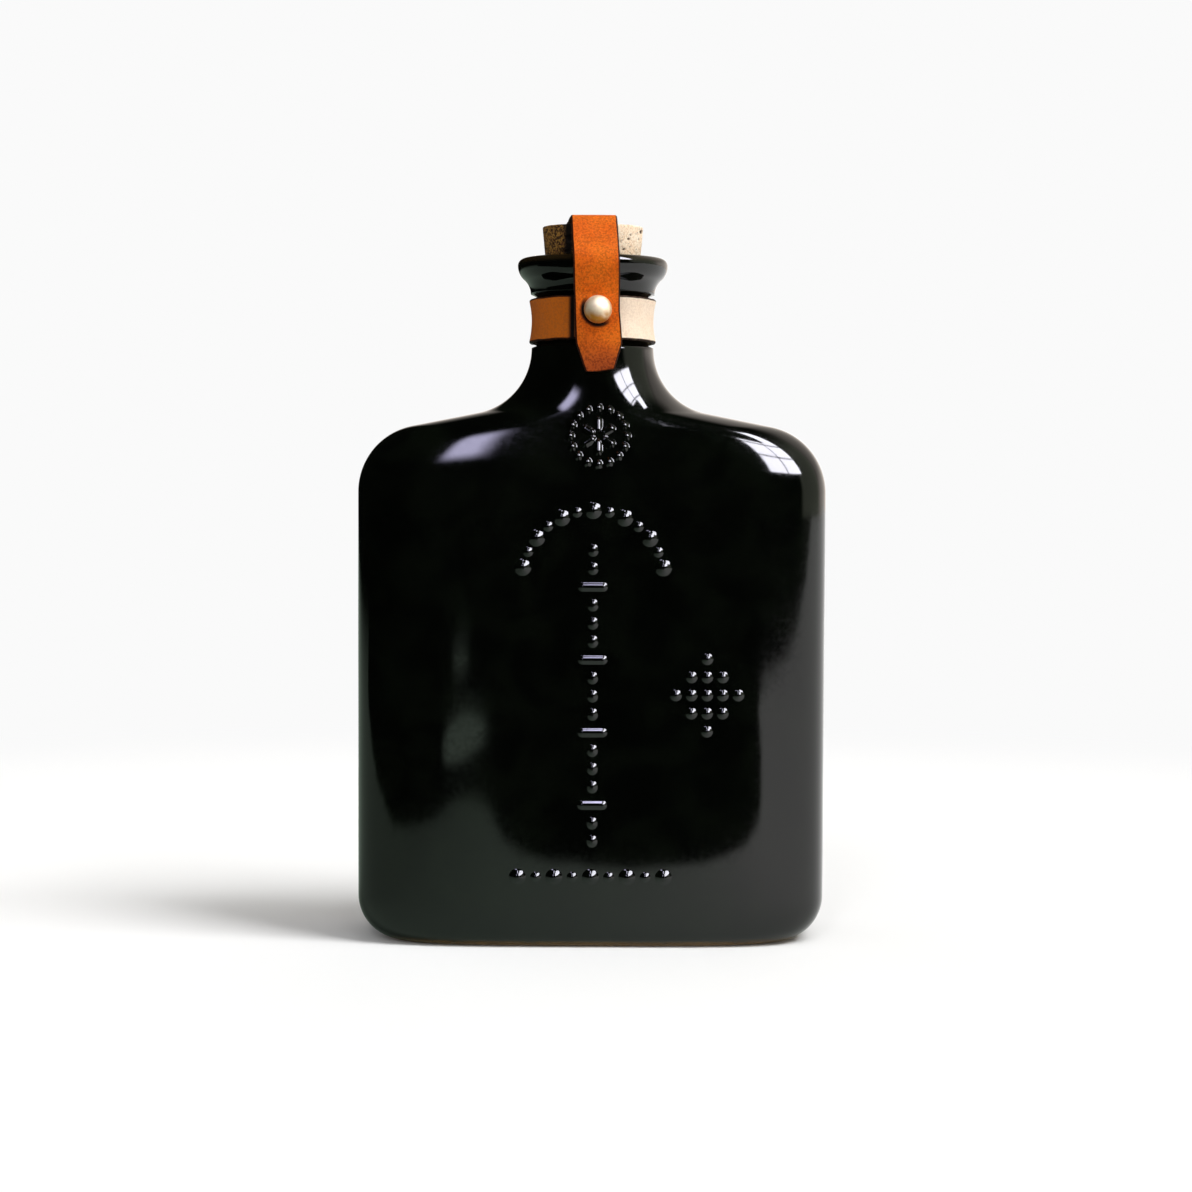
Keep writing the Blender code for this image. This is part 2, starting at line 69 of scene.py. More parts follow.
# Heights between which the glaze comes to full colour at the foot, and the clay is covered
THIN_FOOT = (0.0016, 0.0004)
BARE_FOOT = (0.0006, 0.0002)

# Relief on the front: (reach, rise) of each bead or bar of a group
RELIEF = {
    "scale_beads": (0.00122, 0.00058),
    "scale_bars": (0.00110, 0.00051),
    "arch_drops": (0.00190, 0.00085),
    "arch_beads": (0.00120, 0.00053),
    "rosette_ring": (0.00120, 0.00053),
    "rosette_petals": (0.00110, 0.00048),
    "lozenge_beads": (0.00135, 0.00060),
    "foot_drops": (0.00190, 0.00085),
    "foot_beads": (0.00125, 0.00055),
}
RELIEF_STEP = 0.00014
RELIEF_SINK = 0.00004

# Places of the relief in the front view
SCALE_AXIS = 0.0003
SCALE_TOP = 0.07915
SCALE_PITCH = 0.00361
SCALE_COUNT = 17
BAR_HALF = 0.0020
BEAD_STRETCH = 0.0002
ARCH_CENTRE = (0.0003, 0.0728)
ARCH_RADIUS = 0.0142
ROSETTE_CENTRE = (0.0012, 0.1017)
ROSETTE_RADIUS = 0.0056
PETAL_INNER = 0.0014
PETAL_OUTER = 0.0030
LOZENGE_CENTRE = (0.0230, 0.0505)
LOZENGE_PITCH = (0.0031, 0.0036)
FOOT_HEIGHT = 0.0142
FOOT_LENGTH = 0.0290

# Neck
NECK_FOOT = 0.119766
LIP_TOP = 0.137866
LIP_RADIUS = 0.01525
LIP_ROUND = 0.0014
LIP_FLARE = 0.0058
MOUTH_ROUND = 0.0010
BORE_ROWS = (0.132, 0.126)
COLLAR_RADIUS = 0.0126
WAIST_MIDDLE = 0.125116
WAIST_REACH = 0.0050
WAIST_RADIUS = 0.0107
WAIST_HOLLOW = 0.0006
WAIST_STEP = 0.0004

# Cork
CORK_TOP = 0.144166
CORK_LENGTH = 0.0254
CORK_TOP_RADIUS = 0.01025
CORK_BOTTOM_RADIUS = 0.00795
CORK_EDGE = 0.0004
CORK_SEGMENTS = 288
CORK_ROWS = (0.124, 0.129, 0.133)
# The fine rows start so far below the lip's top, and the pores come in between two heights
CORK_SUNK = 0.0016
PORE_HEIGHTS = (0.134, 0.137)
PORE_DEPTH = 0.00035
# The cork's rim stands a little higher at the sides
RIM_LIFT = 0.00017

# Leather band
HARNESS_TURN = math.radians(3.5)
BAND_MIDDLE = 0.124766
BAND_HEIGHT = 0.0088
BAND_RISE = 0.0007
BAND_TURN = 0.00045
BAND_SLICES = 300
LEATHER = 0.0014
BAND_STEP = 0.0017
LAP_ANGLE = math.radians(54)
LAP_RAMP = math.radians(40)

# Leather strap, whose path is in the side view
STRAP_WIDTH = 0.0093
TIP_WIDTH = 0.0058
TIP_LENGTH = 0.0056
TIP_LEAN = math.radians(3.5)
TAIL_BOTTOM = 0.119266
TAIL_CORNER = 0.0020
TAIL_INNER = 0.014908
STRAP_FRONT = 0.013846
STRAP_TIP = 0.114516
STRAP_LIP = 0.01585
STRAP_OVER = 0.144466
HINGE_HEIGHT = 0.130566
# Radius of the strap's bends: at the hinge, over the lip, over the cork and above the stud
HINGE_BEND = 0.0080
LIP_BEND = 0.0030
CORK_BEND = 0.0015
STUD_BEND = 0.0040
STUD_RUN = 0.0036
HOLE_RADIUS = 0.0019
# The leather swells round the hole: how much, and how far out
HOLE_SWELL = 0.00020
SWELL_REACH = 0.0036
SLIT_LENGTH = 0.0028
SLIT_WIDTH = 0.00006
STRAP_TURN = 0.0004
STRAP_SLICES = 320
STRAP_ACROSS = 30
STRAP_SHIFT = 0.00045
TIP_SLANT = 0.17
# Creases above the stud: place across, and where each one starts and stops
CREASES = ((-0.0030, 0.0024, 0.0062), (0.0026, 0.0020, 0.0075), (0.0036, 0.0030, 0.0056))
CREASE_DEPTH = 0.00011
CREASE_WIDTH = 0.00028
# Painted shadow round the stud: a ring, dark at its lower left where the ball shades the strap
SHADOW_RING_OUTER = 0.0037
SHADOW_RING_INNER = 0.0031

# Ball stud and rivet
STUD_HEIGHT = 0.126616
STUD_SEAT = 0.012996
BALL_CENTRE = 0.017657
BALL_RADIUS = 0.00277
STUD_NECK = 0.0016
FLANGE_RADIUS = 0.0025
FLANGE_THICKNESS = 0.0007
CAP_SEAT = 0.016458
CAP_RADIUS = 0.0032
CAP_HEIGHT = 0.0013
CAP_RIM = 0.0004
METAL_EDGE = 0.00015
BALL_FLATNESS = 0.82

SEAT_GAP = 0.0003
# Radius of the tiny rings that close a round piece at its axis
POLE = 0.00005

# The photograph's view
PHOTO_SIZE = 1192
LEVEL_ROW = 473
VIEW_ACROSS = 0.00082
VIEW_DISTANCE = 0.512
VIEW_HEIGHT = 0.0944
VIEW_FOCUS = 2500
VIEW_ROLL = math.radians(-0.23)

# The room's window in degrees: each pane's (left, right, bottom, top), and each bar's two sides
PANES = ((29, 66, 25, 54.5), (-1, 8, 57, 67), (50, 66, 54, 68))
UPRIGHT_BAR = (44.4, 45.6)
LEVEL_BARS = ((39.4, 40.6), (51.6, 52.8))
# How much further round and higher it stands for matte surfaces, in degrees
MATTE_TURN = 14.0
MATTE_RISE = 13.0
# Brightness of the white behind the flask and of the far floor, as the camera sees them
WHITE = 0.956
# The paper's front edge, across and outward, each as a share of its range
PAPER_EDGE = (
    (0, 0.044), (0.061, 0.10), (0.296, 0.259), (0.391, 0.281), (0.429, 0.322), (0.455, 0.379),
    (0.479, 0.289), (0.495, 0.246), (0.521, 0.247), (0.5625, 0.289), (0.609, 0.396), (0.721, 0.769),
    (0.79, 0.833), (1, 0.867),
)
# Painted reflections of the windows in the table's gloss beyond the paper: centre and size of each
PAINTED_TABLE_GLINTS = (((-0.088, -0.42), (0.030, 0.09)), ((-0.156, -0.80), (0.024, 0.06)))


def linear(code):
    """Linear RGBA of an sRGB colour written as six hex digits."""
    channels = []
    for start in (0, 2, 4):
        value = int(code[start:start + 2], 16) / 255
        channels.append(value / 12.92 if value <= 0.04045 else ((value + 0.055) / 1.055) ** 2.4)
    return (*channels, 1.0)


def spread(start, end, steps):
    """Numbers from start to end in even steps, both ends included."""
    return [start + (end - start) * index / steps for index in range(steps + 1)]


def smooth(value, low, high):
    """0 below low, 1 above high, and a smooth step between them. Low may be the larger one."""
    share = min(max((value - low) / (high - low), 0), 1)
    return share * share * (3 - 2 * share)


def feed(node, inputs):
    """Gives a node its inputs. Each is a value or the socket that feeds it."""
    for socket, value in inputs.items():
        if isinstance(value, bpy.types.NodeSocket):
            node.id_data.links.new(value, node.inputs[socket])
        else:
            node.inputs[socket].default_value = value


def add(tree, kind, inputs=None, **settings):
    """Adds a node with its inputs and settings."""
    node = tree.nodes.new(kind)
    for name, value in settings.items():
        setattr(node, name, value)
    feed(node, inputs or {})
    return node


def calc(tree, operation, *values):
    """The result of a math node on values or sockets."""
    return add(tree, "ShaderNodeMath", dict(enumerate(values)), operation=operation).outputs[0]


def times(tree, *values):
    """The product of values or sockets."""
    product = values[0]
    for value in values[1:]:
        product = calc(tree, "MULTIPLY", product, value)
    return product


def rest_of(tree, share):
    """What a share leaves of 1."""
    return calc(tree, "SUBTRACT", 1.0, share)


def scaled(tree, vector, share):
    """A vector times a number."""
    return add(tree, "ShaderNodeVectorMath", {0: vector, "Scale": share}, operation="SCALE").outputs[0]


def summed(tree, first, second):
    """The sum of two vectors."""
    return add(tree, "ShaderNodeVectorMath", {0: first, 1: second}, operation="ADD").outputs[0]


def step(tree, value, low, high, bottom=0.0, top=1.0):
    """A value carried smoothly from bottom at low to top at high."""
    inputs = {0: value, 1: low, 2: high, 3: bottom, 4: top}
    return add(tree, "ShaderNodeMapRange", inputs, interpolation_type="SMOOTHSTEP").outputs[0]


def step_line(tree, value, low, high):
    """0 at low, 1 at high, straight between them and held beyond them."""
    return add(tree, "ShaderNodeMapRange", {0: value, 1: low, 2: high}).outputs[0]


def shape_curve(node, points):
    """Gives a curve node its points."""
    curve = node.mapping.curves[0]
    for place in points[1:-1]:
        curve.points.new(*place)
    curve.points[0].location = points[0]
    curve.points[-1].location = points[-1]
    node.mapping.update()


def blend_colour(tree, share, first, second):
    """A colour between two, each a hex code or a socket."""
    ends = [linear(end) if isinstance(end, str) else end for end in (first, second)]
    node = add(tree, "ShaderNodeMix", {0: share, 6: ends[0], 7: ends[1]}, data_type="RGBA")
    return node.outputs[2]


def grain(tree, size, detail=3.0, stretch=(1, 1, 1), distortion=0.0):
    """Noise, 0 to 1, whose features are about so many metres across on the object."""
    place = add(tree, "ShaderNodeTexCoord").outputs["Object"]
    place = add(tree, "ShaderNodeMapping", {"Vector": place, "Scale": stretch}).outputs[0]
    inputs = {"Vector": place, "Scale": 1 / size, "Detail": detail, "Distortion": distortion}
    return add(tree, "ShaderNodeTexNoise", inputs).outputs[0]


def bump(tree, height, distance, strength=1.0, normal=None):
    """A bump from a height of 0 to 1, so many metres deep."""
    inputs = {"Height": height, "Distance": distance, "Strength": strength}
    if normal:
        inputs["Normal"] = normal
    return add(tree, "ShaderNodeBump", inputs).outputs[0]


def attribute(tree, name):
    """A value painted on the mesh's points."""
    return add(tree, "ShaderNodeAttribute", attribute_name=name).outputs["Fac"]


def start_material(name):
    """A material with an empty Principled shader, and the tree and shader to build on."""
    material = bpy.data.materials.new(name)
    material.use_nodes = True
    return material, material.node_tree, material.node_tree.nodes["Principled BSDF"]


def black_glaze():
    """Dark green-black stoneware glaze: high gloss, faint green mottling, and brown where it runs thin.

    The foot, which stood on the kiln shelf, is wiped to bare buff clay.
    """
    material, tree, shader = start_material("black_stoneware_glaze")
    mottle = step(tree, grain(tree, 0.009, 4, distortion=0.6), 0.35, 0.7)
    deep = blend_colour(tree, mottle, "020302", "060905")
    thin = times(tree, attribute(tree, "thin"), step(tree, grain(tree, 0.004), 0.2, 0.6, 0.5, 1.0))
    glaze = blend_colour(tree, thin, deep, "6d5430")
    clay = blend_colour(tree, grain(tree, 0.0006), "8f7454", "b39775")
    bare = attribute(tree, "bare")
    colour = blend_colour(tree, bare, glaze, clay)
    rough = step(tree, grain(tree, 0.0009), 0.3, 0.8, 0.06, 0.10)
    rough = calc(tree, "MAXIMUM", rough, times(tree, bare, 0.8))
    normal = bump(tree, grain(tree, 0.0070, 1), 0.000012)
    normal = bump(tree, grain(tree, 0.0003, 4), 0.00008, bare, normal)
    feed(shader, {"Base Color": colour, "Roughness": rough, "IOR": 1.54, "Normal": normal})
    return material


def natural_cork():
    """Natural cork: pale tan with fine darker cells, brown pores and a few dark streaks, quite matte.

    The front left, away from the light, is painted in shade: brown with nearly black cells. A painted shadow
    beside the strap is nearly black.
    """
    material, tree, shader = start_material("natural_cork")
    cells = grain(tree, 0.0004, 5)
    patch = step(tree, grain(tree, 0.003, 3), 0.3, 0.7)
    tan = blend_colour(tree, patch, "ffe4c6", "ffeed8")
    tan = blend_colour(tree, step(tree, cells, 0.54, 0.36, 0.0, 0.6), tan, "dcb285")
    # Painted shade: brown with nearly black cells, for the front left away from the light
    painted_shade = blend_colour(tree, step(tree, cells, 0.44, 0.58), "301e06", "9c7030")
    tan = blend_colour(tree, attribute(tree, "painted_shade"), tan, painted_shade)
    streak = step(tree, grain(tree, 0.0011, 4, (1, 1, 2.6), 0.8), 0.60, 0.68)
    tan = blend_colour(tree, times(tree, streak, 0.75), tan, "7a4c2a")
    tan = blend_colour(tree, attribute(tree, "pore"), tan, "3b2212")
    # Painted shadow of the strap, nearly black
    tan = blend_colour(tree, attribute(tree, "painted_shadow"), tan, "0f0803")
    normal = bump(tree, cells, 0.00012)
    feed(shader, {"Base Color": tan, "Roughness": 0.88, "Specular IOR Level": 0.3, "Normal": normal})
    return material


def leather(name, pale, dark, painted_shade_colour, edge_colour, flesh_colour, grain_depth):
    """Vegetable-tanned leather: fine pebbled grain, cloudy dye, dark burnished edges and a rough flesh side.

    The painted shade colour darkens the band's front left and the strap's tip, which face away from the
    light, and painted shadows by the strap and stud are nearly black.
    """
    material, tree, shader = start_material(name)
    cloud = step(tree, grain(tree, 0.006, 4), 0.3, 0.72)
    body = blend_colour(tree, cloud, dark, pale)
    pebble = add(tree, "ShaderNodeTexVoronoi", {
        "Vector": add(tree, "ShaderNodeTexCoord").outputs["Object"], "Scale": 1 / 0.00040, "Detail": 1.0,
    }, feature="SMOOTH_F1").outputs["Distance"]
    fibre = grain(tree, 0.00042, 3)
    painted_shade = attribute(tree, "painted_shade")
    # Painted shade: darker where it faces away from the light
    body = blend_colour(tree, painted_shade, body, painted_shade_colour)
    depth = calc(tree, "MULTIPLY_ADD", painted_shade, 0.25, grain_depth)
    crease = step(tree, pebble, 0.25, 0.60, 0.0, grain_depth * 0.6)
    body = blend_colour(tree, crease, body, edge_colour)
    body = blend_colour(tree, times(tree, step(tree, fibre, 0.44, 0.62), depth), body, edge_colour)
    flesh = attribute(tree, "flesh")
    body = blend_colour(tree, flesh, body, flesh_colour)
    edge = times(tree, attribute(tree, "edge"), step(tree, grain(tree, 0.0007), 0.25, 0.6, 0.92, 1.0))
    body = blend_colour(tree, edge, body, "241006")
    # Painted shadow beside the strap and round the stud, nearly black
    body = blend_colour(tree, attribute(tree, "painted_shadow"), body, "100804")
    rough = step(tree, grain(tree, 0.002), 0.3, 0.7, 0.5, 0.66)
    rough = calc(tree, "ADD", rough, times(tree, flesh, 0.25))
    normal = bump(tree, rest_of(tree, pebble), 0.00006, 0.8)
    normal = bump(tree, fibre, 0.00004, 0.8, normal)
    feed(shader, {"Base Color": body, "Roughness": rough, "Specular IOR Level": 0.1, "Normal": normal})
    return material


def polished_brass():
    """Brass, pale where a painted highlight falls and golden where painted shade and reflection fall, with
    faint random tarnish and fine lines that blur its mirror.
    """
    material, tree, shader = start_material("polished_brass")
    cloud = step(tree, grain(tree, 0.0009, 4), 0.3, 0.7, -0.12, 0.12)
    painted_shade_and_tarnish = calc(tree, "ADD", attribute(tree, "painted_shade_and_tarnish"), cloud)
    # Pale where a painted highlight falls, golden under painted shade and reflection
    colour = blend_colour(tree, painted_shade_and_tarnish, "fdebcc", "c9842e")
    rough = step(tree, grain(tree, 0.0008, 5), 0.3, 0.75, 0.44, 0.54)
    normal = bump(tree, grain(tree, 0.0002, 2, (1, 1, 5)), 0.000004)
    feed(shader, {"Base Color": colour, "Metallic": 0.6, "Roughness": rough, "Normal": normal})
    return material


def new_object(name, data):
    """An object at the origin."""
    made = bpy.data.objects.new(name, data)
    bpy.context.collection.objects.link(made)
    return made


def mesh_object(name, bm, material):
    """A smooth-shaded object at the origin from a bmesh."""
    mesh = bpy.data.meshes.new(name)
    bm.to_mesh(mesh)
    bm.free()
    mesh.materials.append(material)
    mesh.shade_smooth()
    return new_object(name, mesh)


def paint(mesh, name, value):
    """Stores a number at each point of a mesh, as value(index, place) gives it."""
    layer = mesh.attributes.new(name, "FLOAT", "POINT")
    layer.data.foreach_set("value", [value(vert.index, vert.co) for vert in mesh.vertices])


def loft(rings):
    """A closed skin through rings with the same number of points, capped at both ends."""
    bm = bmesh.new()
    loops = [[bm.verts.new(point) for point in ring] for ring in rings]
    for low, high in zip(loops, loops[1:]):
        for index, corner in enumerate(low):
            following = (index + 1) % len(low)
            bm.faces.new((corner, low[following], high[following], high[index]))
    bm.faces.new(reversed(loops[0]))
    bm.faces.new(loops[-1])
    bmesh.ops.recalc_face_normals(bm, faces=bm.faces)
    return bm


def arc(centre, radius, start, end, steps):
    """Points on an arc about a 2D centre, between two angles in degrees, both ends included."""
    points = []
    for degrees in spread(start, end, steps):
        angle = math.radians(degrees)
        points.append((centre[0] + radius * math.cos(angle), centre[1] + radius * math.sin(angle)))
    return points


def s_curve(height, low, high):
    """Radius at a height between two upright ends, (radius, height) each, joined by two equal arcs."""
    rise = high[1] - low[1]
    swing = high[0] - low[0]
    bend = (swing ** 2 + rise ** 2) / (4 * abs(swing))
    along = min(max(height - low[1], 0), rise)
    if along <= rise / 2:
        return low[0] + math.copysign(bend - math.sqrt(bend ** 2 - along ** 2), swing)
    return high[0] - math.copysign(bend - math.sqrt(bend ** 2 - (rise - along) ** 2), swing)


def half_depth(height):
    """Half of the body's depth at a height."""
    if height < BASE_EDGE:
        return BODY_DEPTH / 2 - BASE_EDGE + math.sqrt(BASE_EDGE ** 2 - (BASE_EDGE - max(height, 0)) ** 2)
    return s_curve(height, (BODY_DEPTH / 2, FACE_HEIGHT), (NECK_RADIUS, NECK_FOOT))


def section(half_x, half_y, exponent, height, segments=BODY_SEGMENTS):
    """One level ring of the body, between an ellipse and a rounded rectangle."""
    ring = []
    for index in range(segments):
        angle = math.tau * index / segments
        across = math.cos(angle)
        along = math.sin(angle)
        reach = (abs(across) ** exponent + abs(along) ** exponent) ** (-1 / exponent)
        ring.append(Vector((half_x * reach * across, half_y * reach * along, height)))
    return ring


def circle(radius, height, segments):
    """One level round ring."""
    return section(radius, radius, 2, height, segments)


def waist_radius(height):
    """Radius of the hourglass waist at a height."""
    return WAIST_RADIUS + WAIST_HOLLOW * ((height - WAIST_MIDDLE) / (BAND_HEIGHT / 2)) ** 2


def cork_radius(height):
    """Radius of the cork's taper at a height."""
    share = (height - CORK_TOP + CORK_LENGTH) / CORK_LENGTH
    return CORK_BOTTOM_RADIUS + (CORK_TOP_RADIUS - CORK_BOTTOM_RADIUS) * share


def body_outline(offset, steps):
    """Front outline from base to neck foot, moved inward by an offset: (half width, height, exponent)."""
    half = BODY_WIDTH / 2
    upright = 90 - math.degrees(SHOULDER_SLOPE)
    outline = arc((half - BASE_CORNER, BASE_CORNER), BASE_CORNER - offset, -90, 0, steps)
    outline += [(half - offset, height) for height in spread(outline[-1][1], SIDE_HEIGHT, 2 * steps)[1:-1]]
    outline += arc((half - SHOULDER_RADIUS, SIDE_HEIGHT), SHOULDER_RADIUS - offset, 0, upright, 2 * steps)
    fillet = arc((NECK_RADIUS + NECK_FILLET, NECK_FOOT), NECK_FILLET + offset, 180 + upright, 180, 2 * steps)
    left, right = Vector(outline[-1]), Vector(fillet[0])
    outline += [tuple(left.lerp(right, index / steps)) for index in range(1, steps)]
    rows = []
    for half_x, height in outline + fillet:
        share = max(half_x + offset - NECK_RADIUS, 0) / (half - NECK_RADIUS)
        rows.append((half_x, height, 2 + (BODY_EXPONENT - 2) * share ** SQUARING))
    return rows


def neck_rows():
    """The neck's (radius, height) rows: waist, flare, lip, mouth and the tapered bore."""
    waist = spread(WAIST_MIDDLE - WAIST_REACH, WAIST_MIDDLE + WAIST_REACH, 16)
    rows = [(waist_radius(height), height) for height in waist]
    rows += arc((COLLAR_RADIUS - WAIST_STEP, rows[-1][1] + 2 * WAIST_STEP), WAIST_STEP, -90, 0, 4)
    flare = LIP_TOP - LIP_ROUND - LIP_FLARE
    for height in spread(flare, flare + LIP_FLARE, 24):
        rows.append((s_curve(height, (COLLAR_RADIUS, flare), (LIP_RADIUS, LIP_TOP - LIP_ROUND)), height))
    rows += arc((LIP_RADIUS - LIP_ROUND, LIP_TOP - LIP_ROUND), LIP_ROUND, 0, 90, 12)[1:]
    mouth = LIP_TOP - MOUTH_ROUND
    mouth_radius = cork_radius(mouth) + SEAT_GAP
    rows += arc((mouth_radius + MOUTH_ROUND, mouth), MOUTH_ROUND, 90, 180, 6)
    rows += [(cork_radius(height) + SEAT_GAP, height) for height in (*BORE_ROWS, NECK_FOOT + MOUTH_ROUND)]
    return rows


def glazed_body(material):
    """The slip-cast body, whose walls wander by a few hundredths of a millimetre as cast ware does."""
    rings = [section(x, half_depth(z), exponent, z) for x, z, exponent in body_outline(0, 16)]
    rings += [circle(radius, height, BODY_SEGMENTS) for radius, height in neck_rows()]
    outer = len(rings) * BODY_SEGMENTS
    for x, z, exponent in reversed(body_outline(WALL, 5)):
        depth = min(half_depth(z), half_depth(z - WALL)) - WALL
        rings.append(section(x, depth, exponent, z))
    bm = loft(rings)
    bm.normal_update()
    moves = []
    for vert in bm.verts:
        wander = noise.noise(vert.co * 45 + Vector((3.1, 0.4, 7.7))) * CAST_WANDER
        moves.append(vert.normal * wander * min(vert.co.z / 0.004, 1))
    for vert, move in zip(bm.verts, moves):
        vert.co += move
    piece = mesh_object("glazed_flask", bm, material)

    def thin(index, place):
        foot = smooth(place.z, *THIN_FOOT)
        rim = smooth(abs(place.z - LIP_TOP + 0.0003), 0.0012, 0.0002) * 0.1
        return max(foot, rim) if index < outer else 0.0

    paint(piece.data, "thin", thin)
    paint(piece.data, "bare", lambda index, place: smooth(place.z, *BARE_FOOT) if index < outer else 0.0)
    return piece


def start_group(name, sockets):
    """A Geometry Nodes tree with its named inputs, and the sockets that give them."""
    tree = bpy.data.node_groups.new(name, "GeometryNodeTree")
    for label, kind in sockets:
        tree.interface.new_socket(label, in_out="INPUT", socket_type="NodeSocket" + kind)
    tree.interface.new_socket("Geometry", in_out="OUTPUT", socket_type="NodeSocketGeometry")
    return tree, add(tree, "NodeGroupInput").outputs


def finish_group(tree, geometry, material):
    """Makes the instances real, sets the material and puts the geometry out."""
    geometry = add(tree, "GeometryNodeRealizeInstances", {"Geometry": geometry}).outputs[0]
    inputs = {"Geometry": geometry, "Material": material}
    geometry = add(tree, "GeometryNodeSetMaterial", inputs).outputs[0]
    add(tree, "NodeGroupOutput", {"Geometry": geometry})


def marks_tree():
    """Geometry Nodes: a fine patch laid on the body, raised in a soft ridge over each edge of the marks."""
    tree, given = start_group("raised_marks", (
        ("Geometry", "Geometry"), ("Body", "Object"), ("Centre", "Vector"), ("Width", "Float"),
        ("Height", "Float"), ("Step", "Float"), ("Reach", "Float"), ("Rise", "Float"), ("Sink", "Float"),
        ("Glaze", "Material"),
    ))
    columns = calc(tree, "DIVIDE", given["Width"], given["Step"])
    rows = calc(tree, "DIVIDE", given["Height"], given["Step"])
    sheet = add(tree, "GeometryNodeMeshGrid", {
        "Size X": given["Width"], "Size Y": given["Height"], "Vertices X": columns, "Vertices Y": rows,
    }).outputs["Mesh"]
    sheet = add(tree, "GeometryNodeTransform", {
        "Geometry": sheet, "Translation": given["Centre"], "Rotation": (math.radians(90), 0, 0),
    }).outputs[0]
    place = add(tree, "GeometryNodeInputPosition").outputs[0]
    apart = add(tree, "ShaderNodeSeparateXYZ", {0: place}).outputs
    flat = add(tree, "ShaderNodeCombineXYZ", {"X": apart["X"], "Z": apart["Z"]}).outputs[0]
    inputs = {"Geometry": given["Geometry"], "Sample Position": flat}
    near = add(tree, "GeometryNodeProximity", inputs, target_element="EDGES").outputs["Distance"]
    share = calc(tree, "MINIMUM", calc(tree, "DIVIDE", near, given["Reach"]), 1.0)
    bell = calc(tree, "POWER", rest_of(tree, times(tree, share, share)), 2.0)
    lift = times(tree, bell, calc(tree, "ADD", given["Rise"], given["Sink"]))
    lift = calc(tree, "SUBTRACT", lift, given["Sink"])
    surface = add(tree, "GeometryNodeObjectInfo", {"Object": given["Body"]}).outputs["Geometry"]
    ray = add(tree, "GeometryNodeRaycast", {
        "Target Geometry": surface, "Source Position": place, "Ray Direction": (0, 1, 0), "Ray Length": 0.05,
    }).outputs
    raised = summed(tree, ray["Hit Position"], scaled(tree, ray["Hit Normal"], lift))
    inputs = {0: share, 1: 0.999}
    far = add(tree, "FunctionNodeCompare", inputs, data_type="FLOAT", operation="GREATER_THAN").outputs[0]
    sheet = add(tree, "GeometryNodeSetPosition", {"Geometry": sheet, "Position": raised}).outputs[0]
    inputs = {"Geometry": sheet, "Selection": far}
    kept = add(tree, "GeometryNodeDeleteGeometry", inputs, domain="POINT").outputs[0]
    finish_group(tree, kept, given["Glaze"])
    return tree


def evaluated(piece, name, material):
    """A plain mesh object made from a piece with its modifiers, which the piece itself doesn't outlive."""
    bpy.context.view_layer.update()
    mesh = bpy.data.meshes.new_from_object(piece.evaluated_get(bpy.context.evaluated_depsgraph_get()))
    mesh.name = name
    bpy.data.objects.remove(piece)
    mesh.materials.clear()
    mesh.materials.append(material)
    mesh.shade_smooth()
    return new_object(name, mesh)


def set_inputs(modifier, values):
    """Sets a Geometry Nodes modifier's inputs by their names."""
    for item in modifier.node_group.interface.items_tree:
        if item.in_out == "INPUT" and item.name in values:
            modifier[item.identifier] = values[item.name]


def raised_marks(name, strokes, body, tree, material):
    """Low relief on the front face. Each stroke is a pair of (x, height) ends, the same two for a bead."""
    reach, rise = RELIEF[name]
    bm = bmesh.new()
    for first, last in strokes:
        ends = [bm.verts.new((first[0], 0, first[1])), bm.verts.new((last[0] + 0.00001, 0, last[1]))]
        bm.edges.new(ends)
    sketch = mesh_object(name + "_sketch", bm, material)
    across = [end[0] for stroke in strokes for end in stroke]
    upward = [end[1] for stroke in strokes for end in stroke]
    centre = ((min(across) + max(across)) / 2, -0.03, (min(upward) + max(upward)) / 2)
    margin = 2.4 * reach
    modifier = sketch.modifiers.new("raised_marks", "NODES")
    modifier.node_group = tree
    set_inputs(modifier, {
        "Body": body, "Centre": centre, "Width": max(across) - min(across) + margin,
        "Height": max(upward) - min(upward) + margin, "Step": RELIEF_STEP, "Reach": reach, "Rise": rise,
        "Sink": RELIEF_SINK, "Glaze": material,
    })
    piece = evaluated(sketch, name, material)
    paint(piece.data, "thin", lambda index, place: 0.0)
    paint(piece.data, "bare", lambda index, place: 0.0)
    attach(piece, "flask")


def about(centre, radius, degrees):
    """A point at a distance and an angle from a centre."""
    angle = math.radians(degrees)
    return centre[0] + radius * math.cos(angle), centre[1] + radius * math.sin(angle)


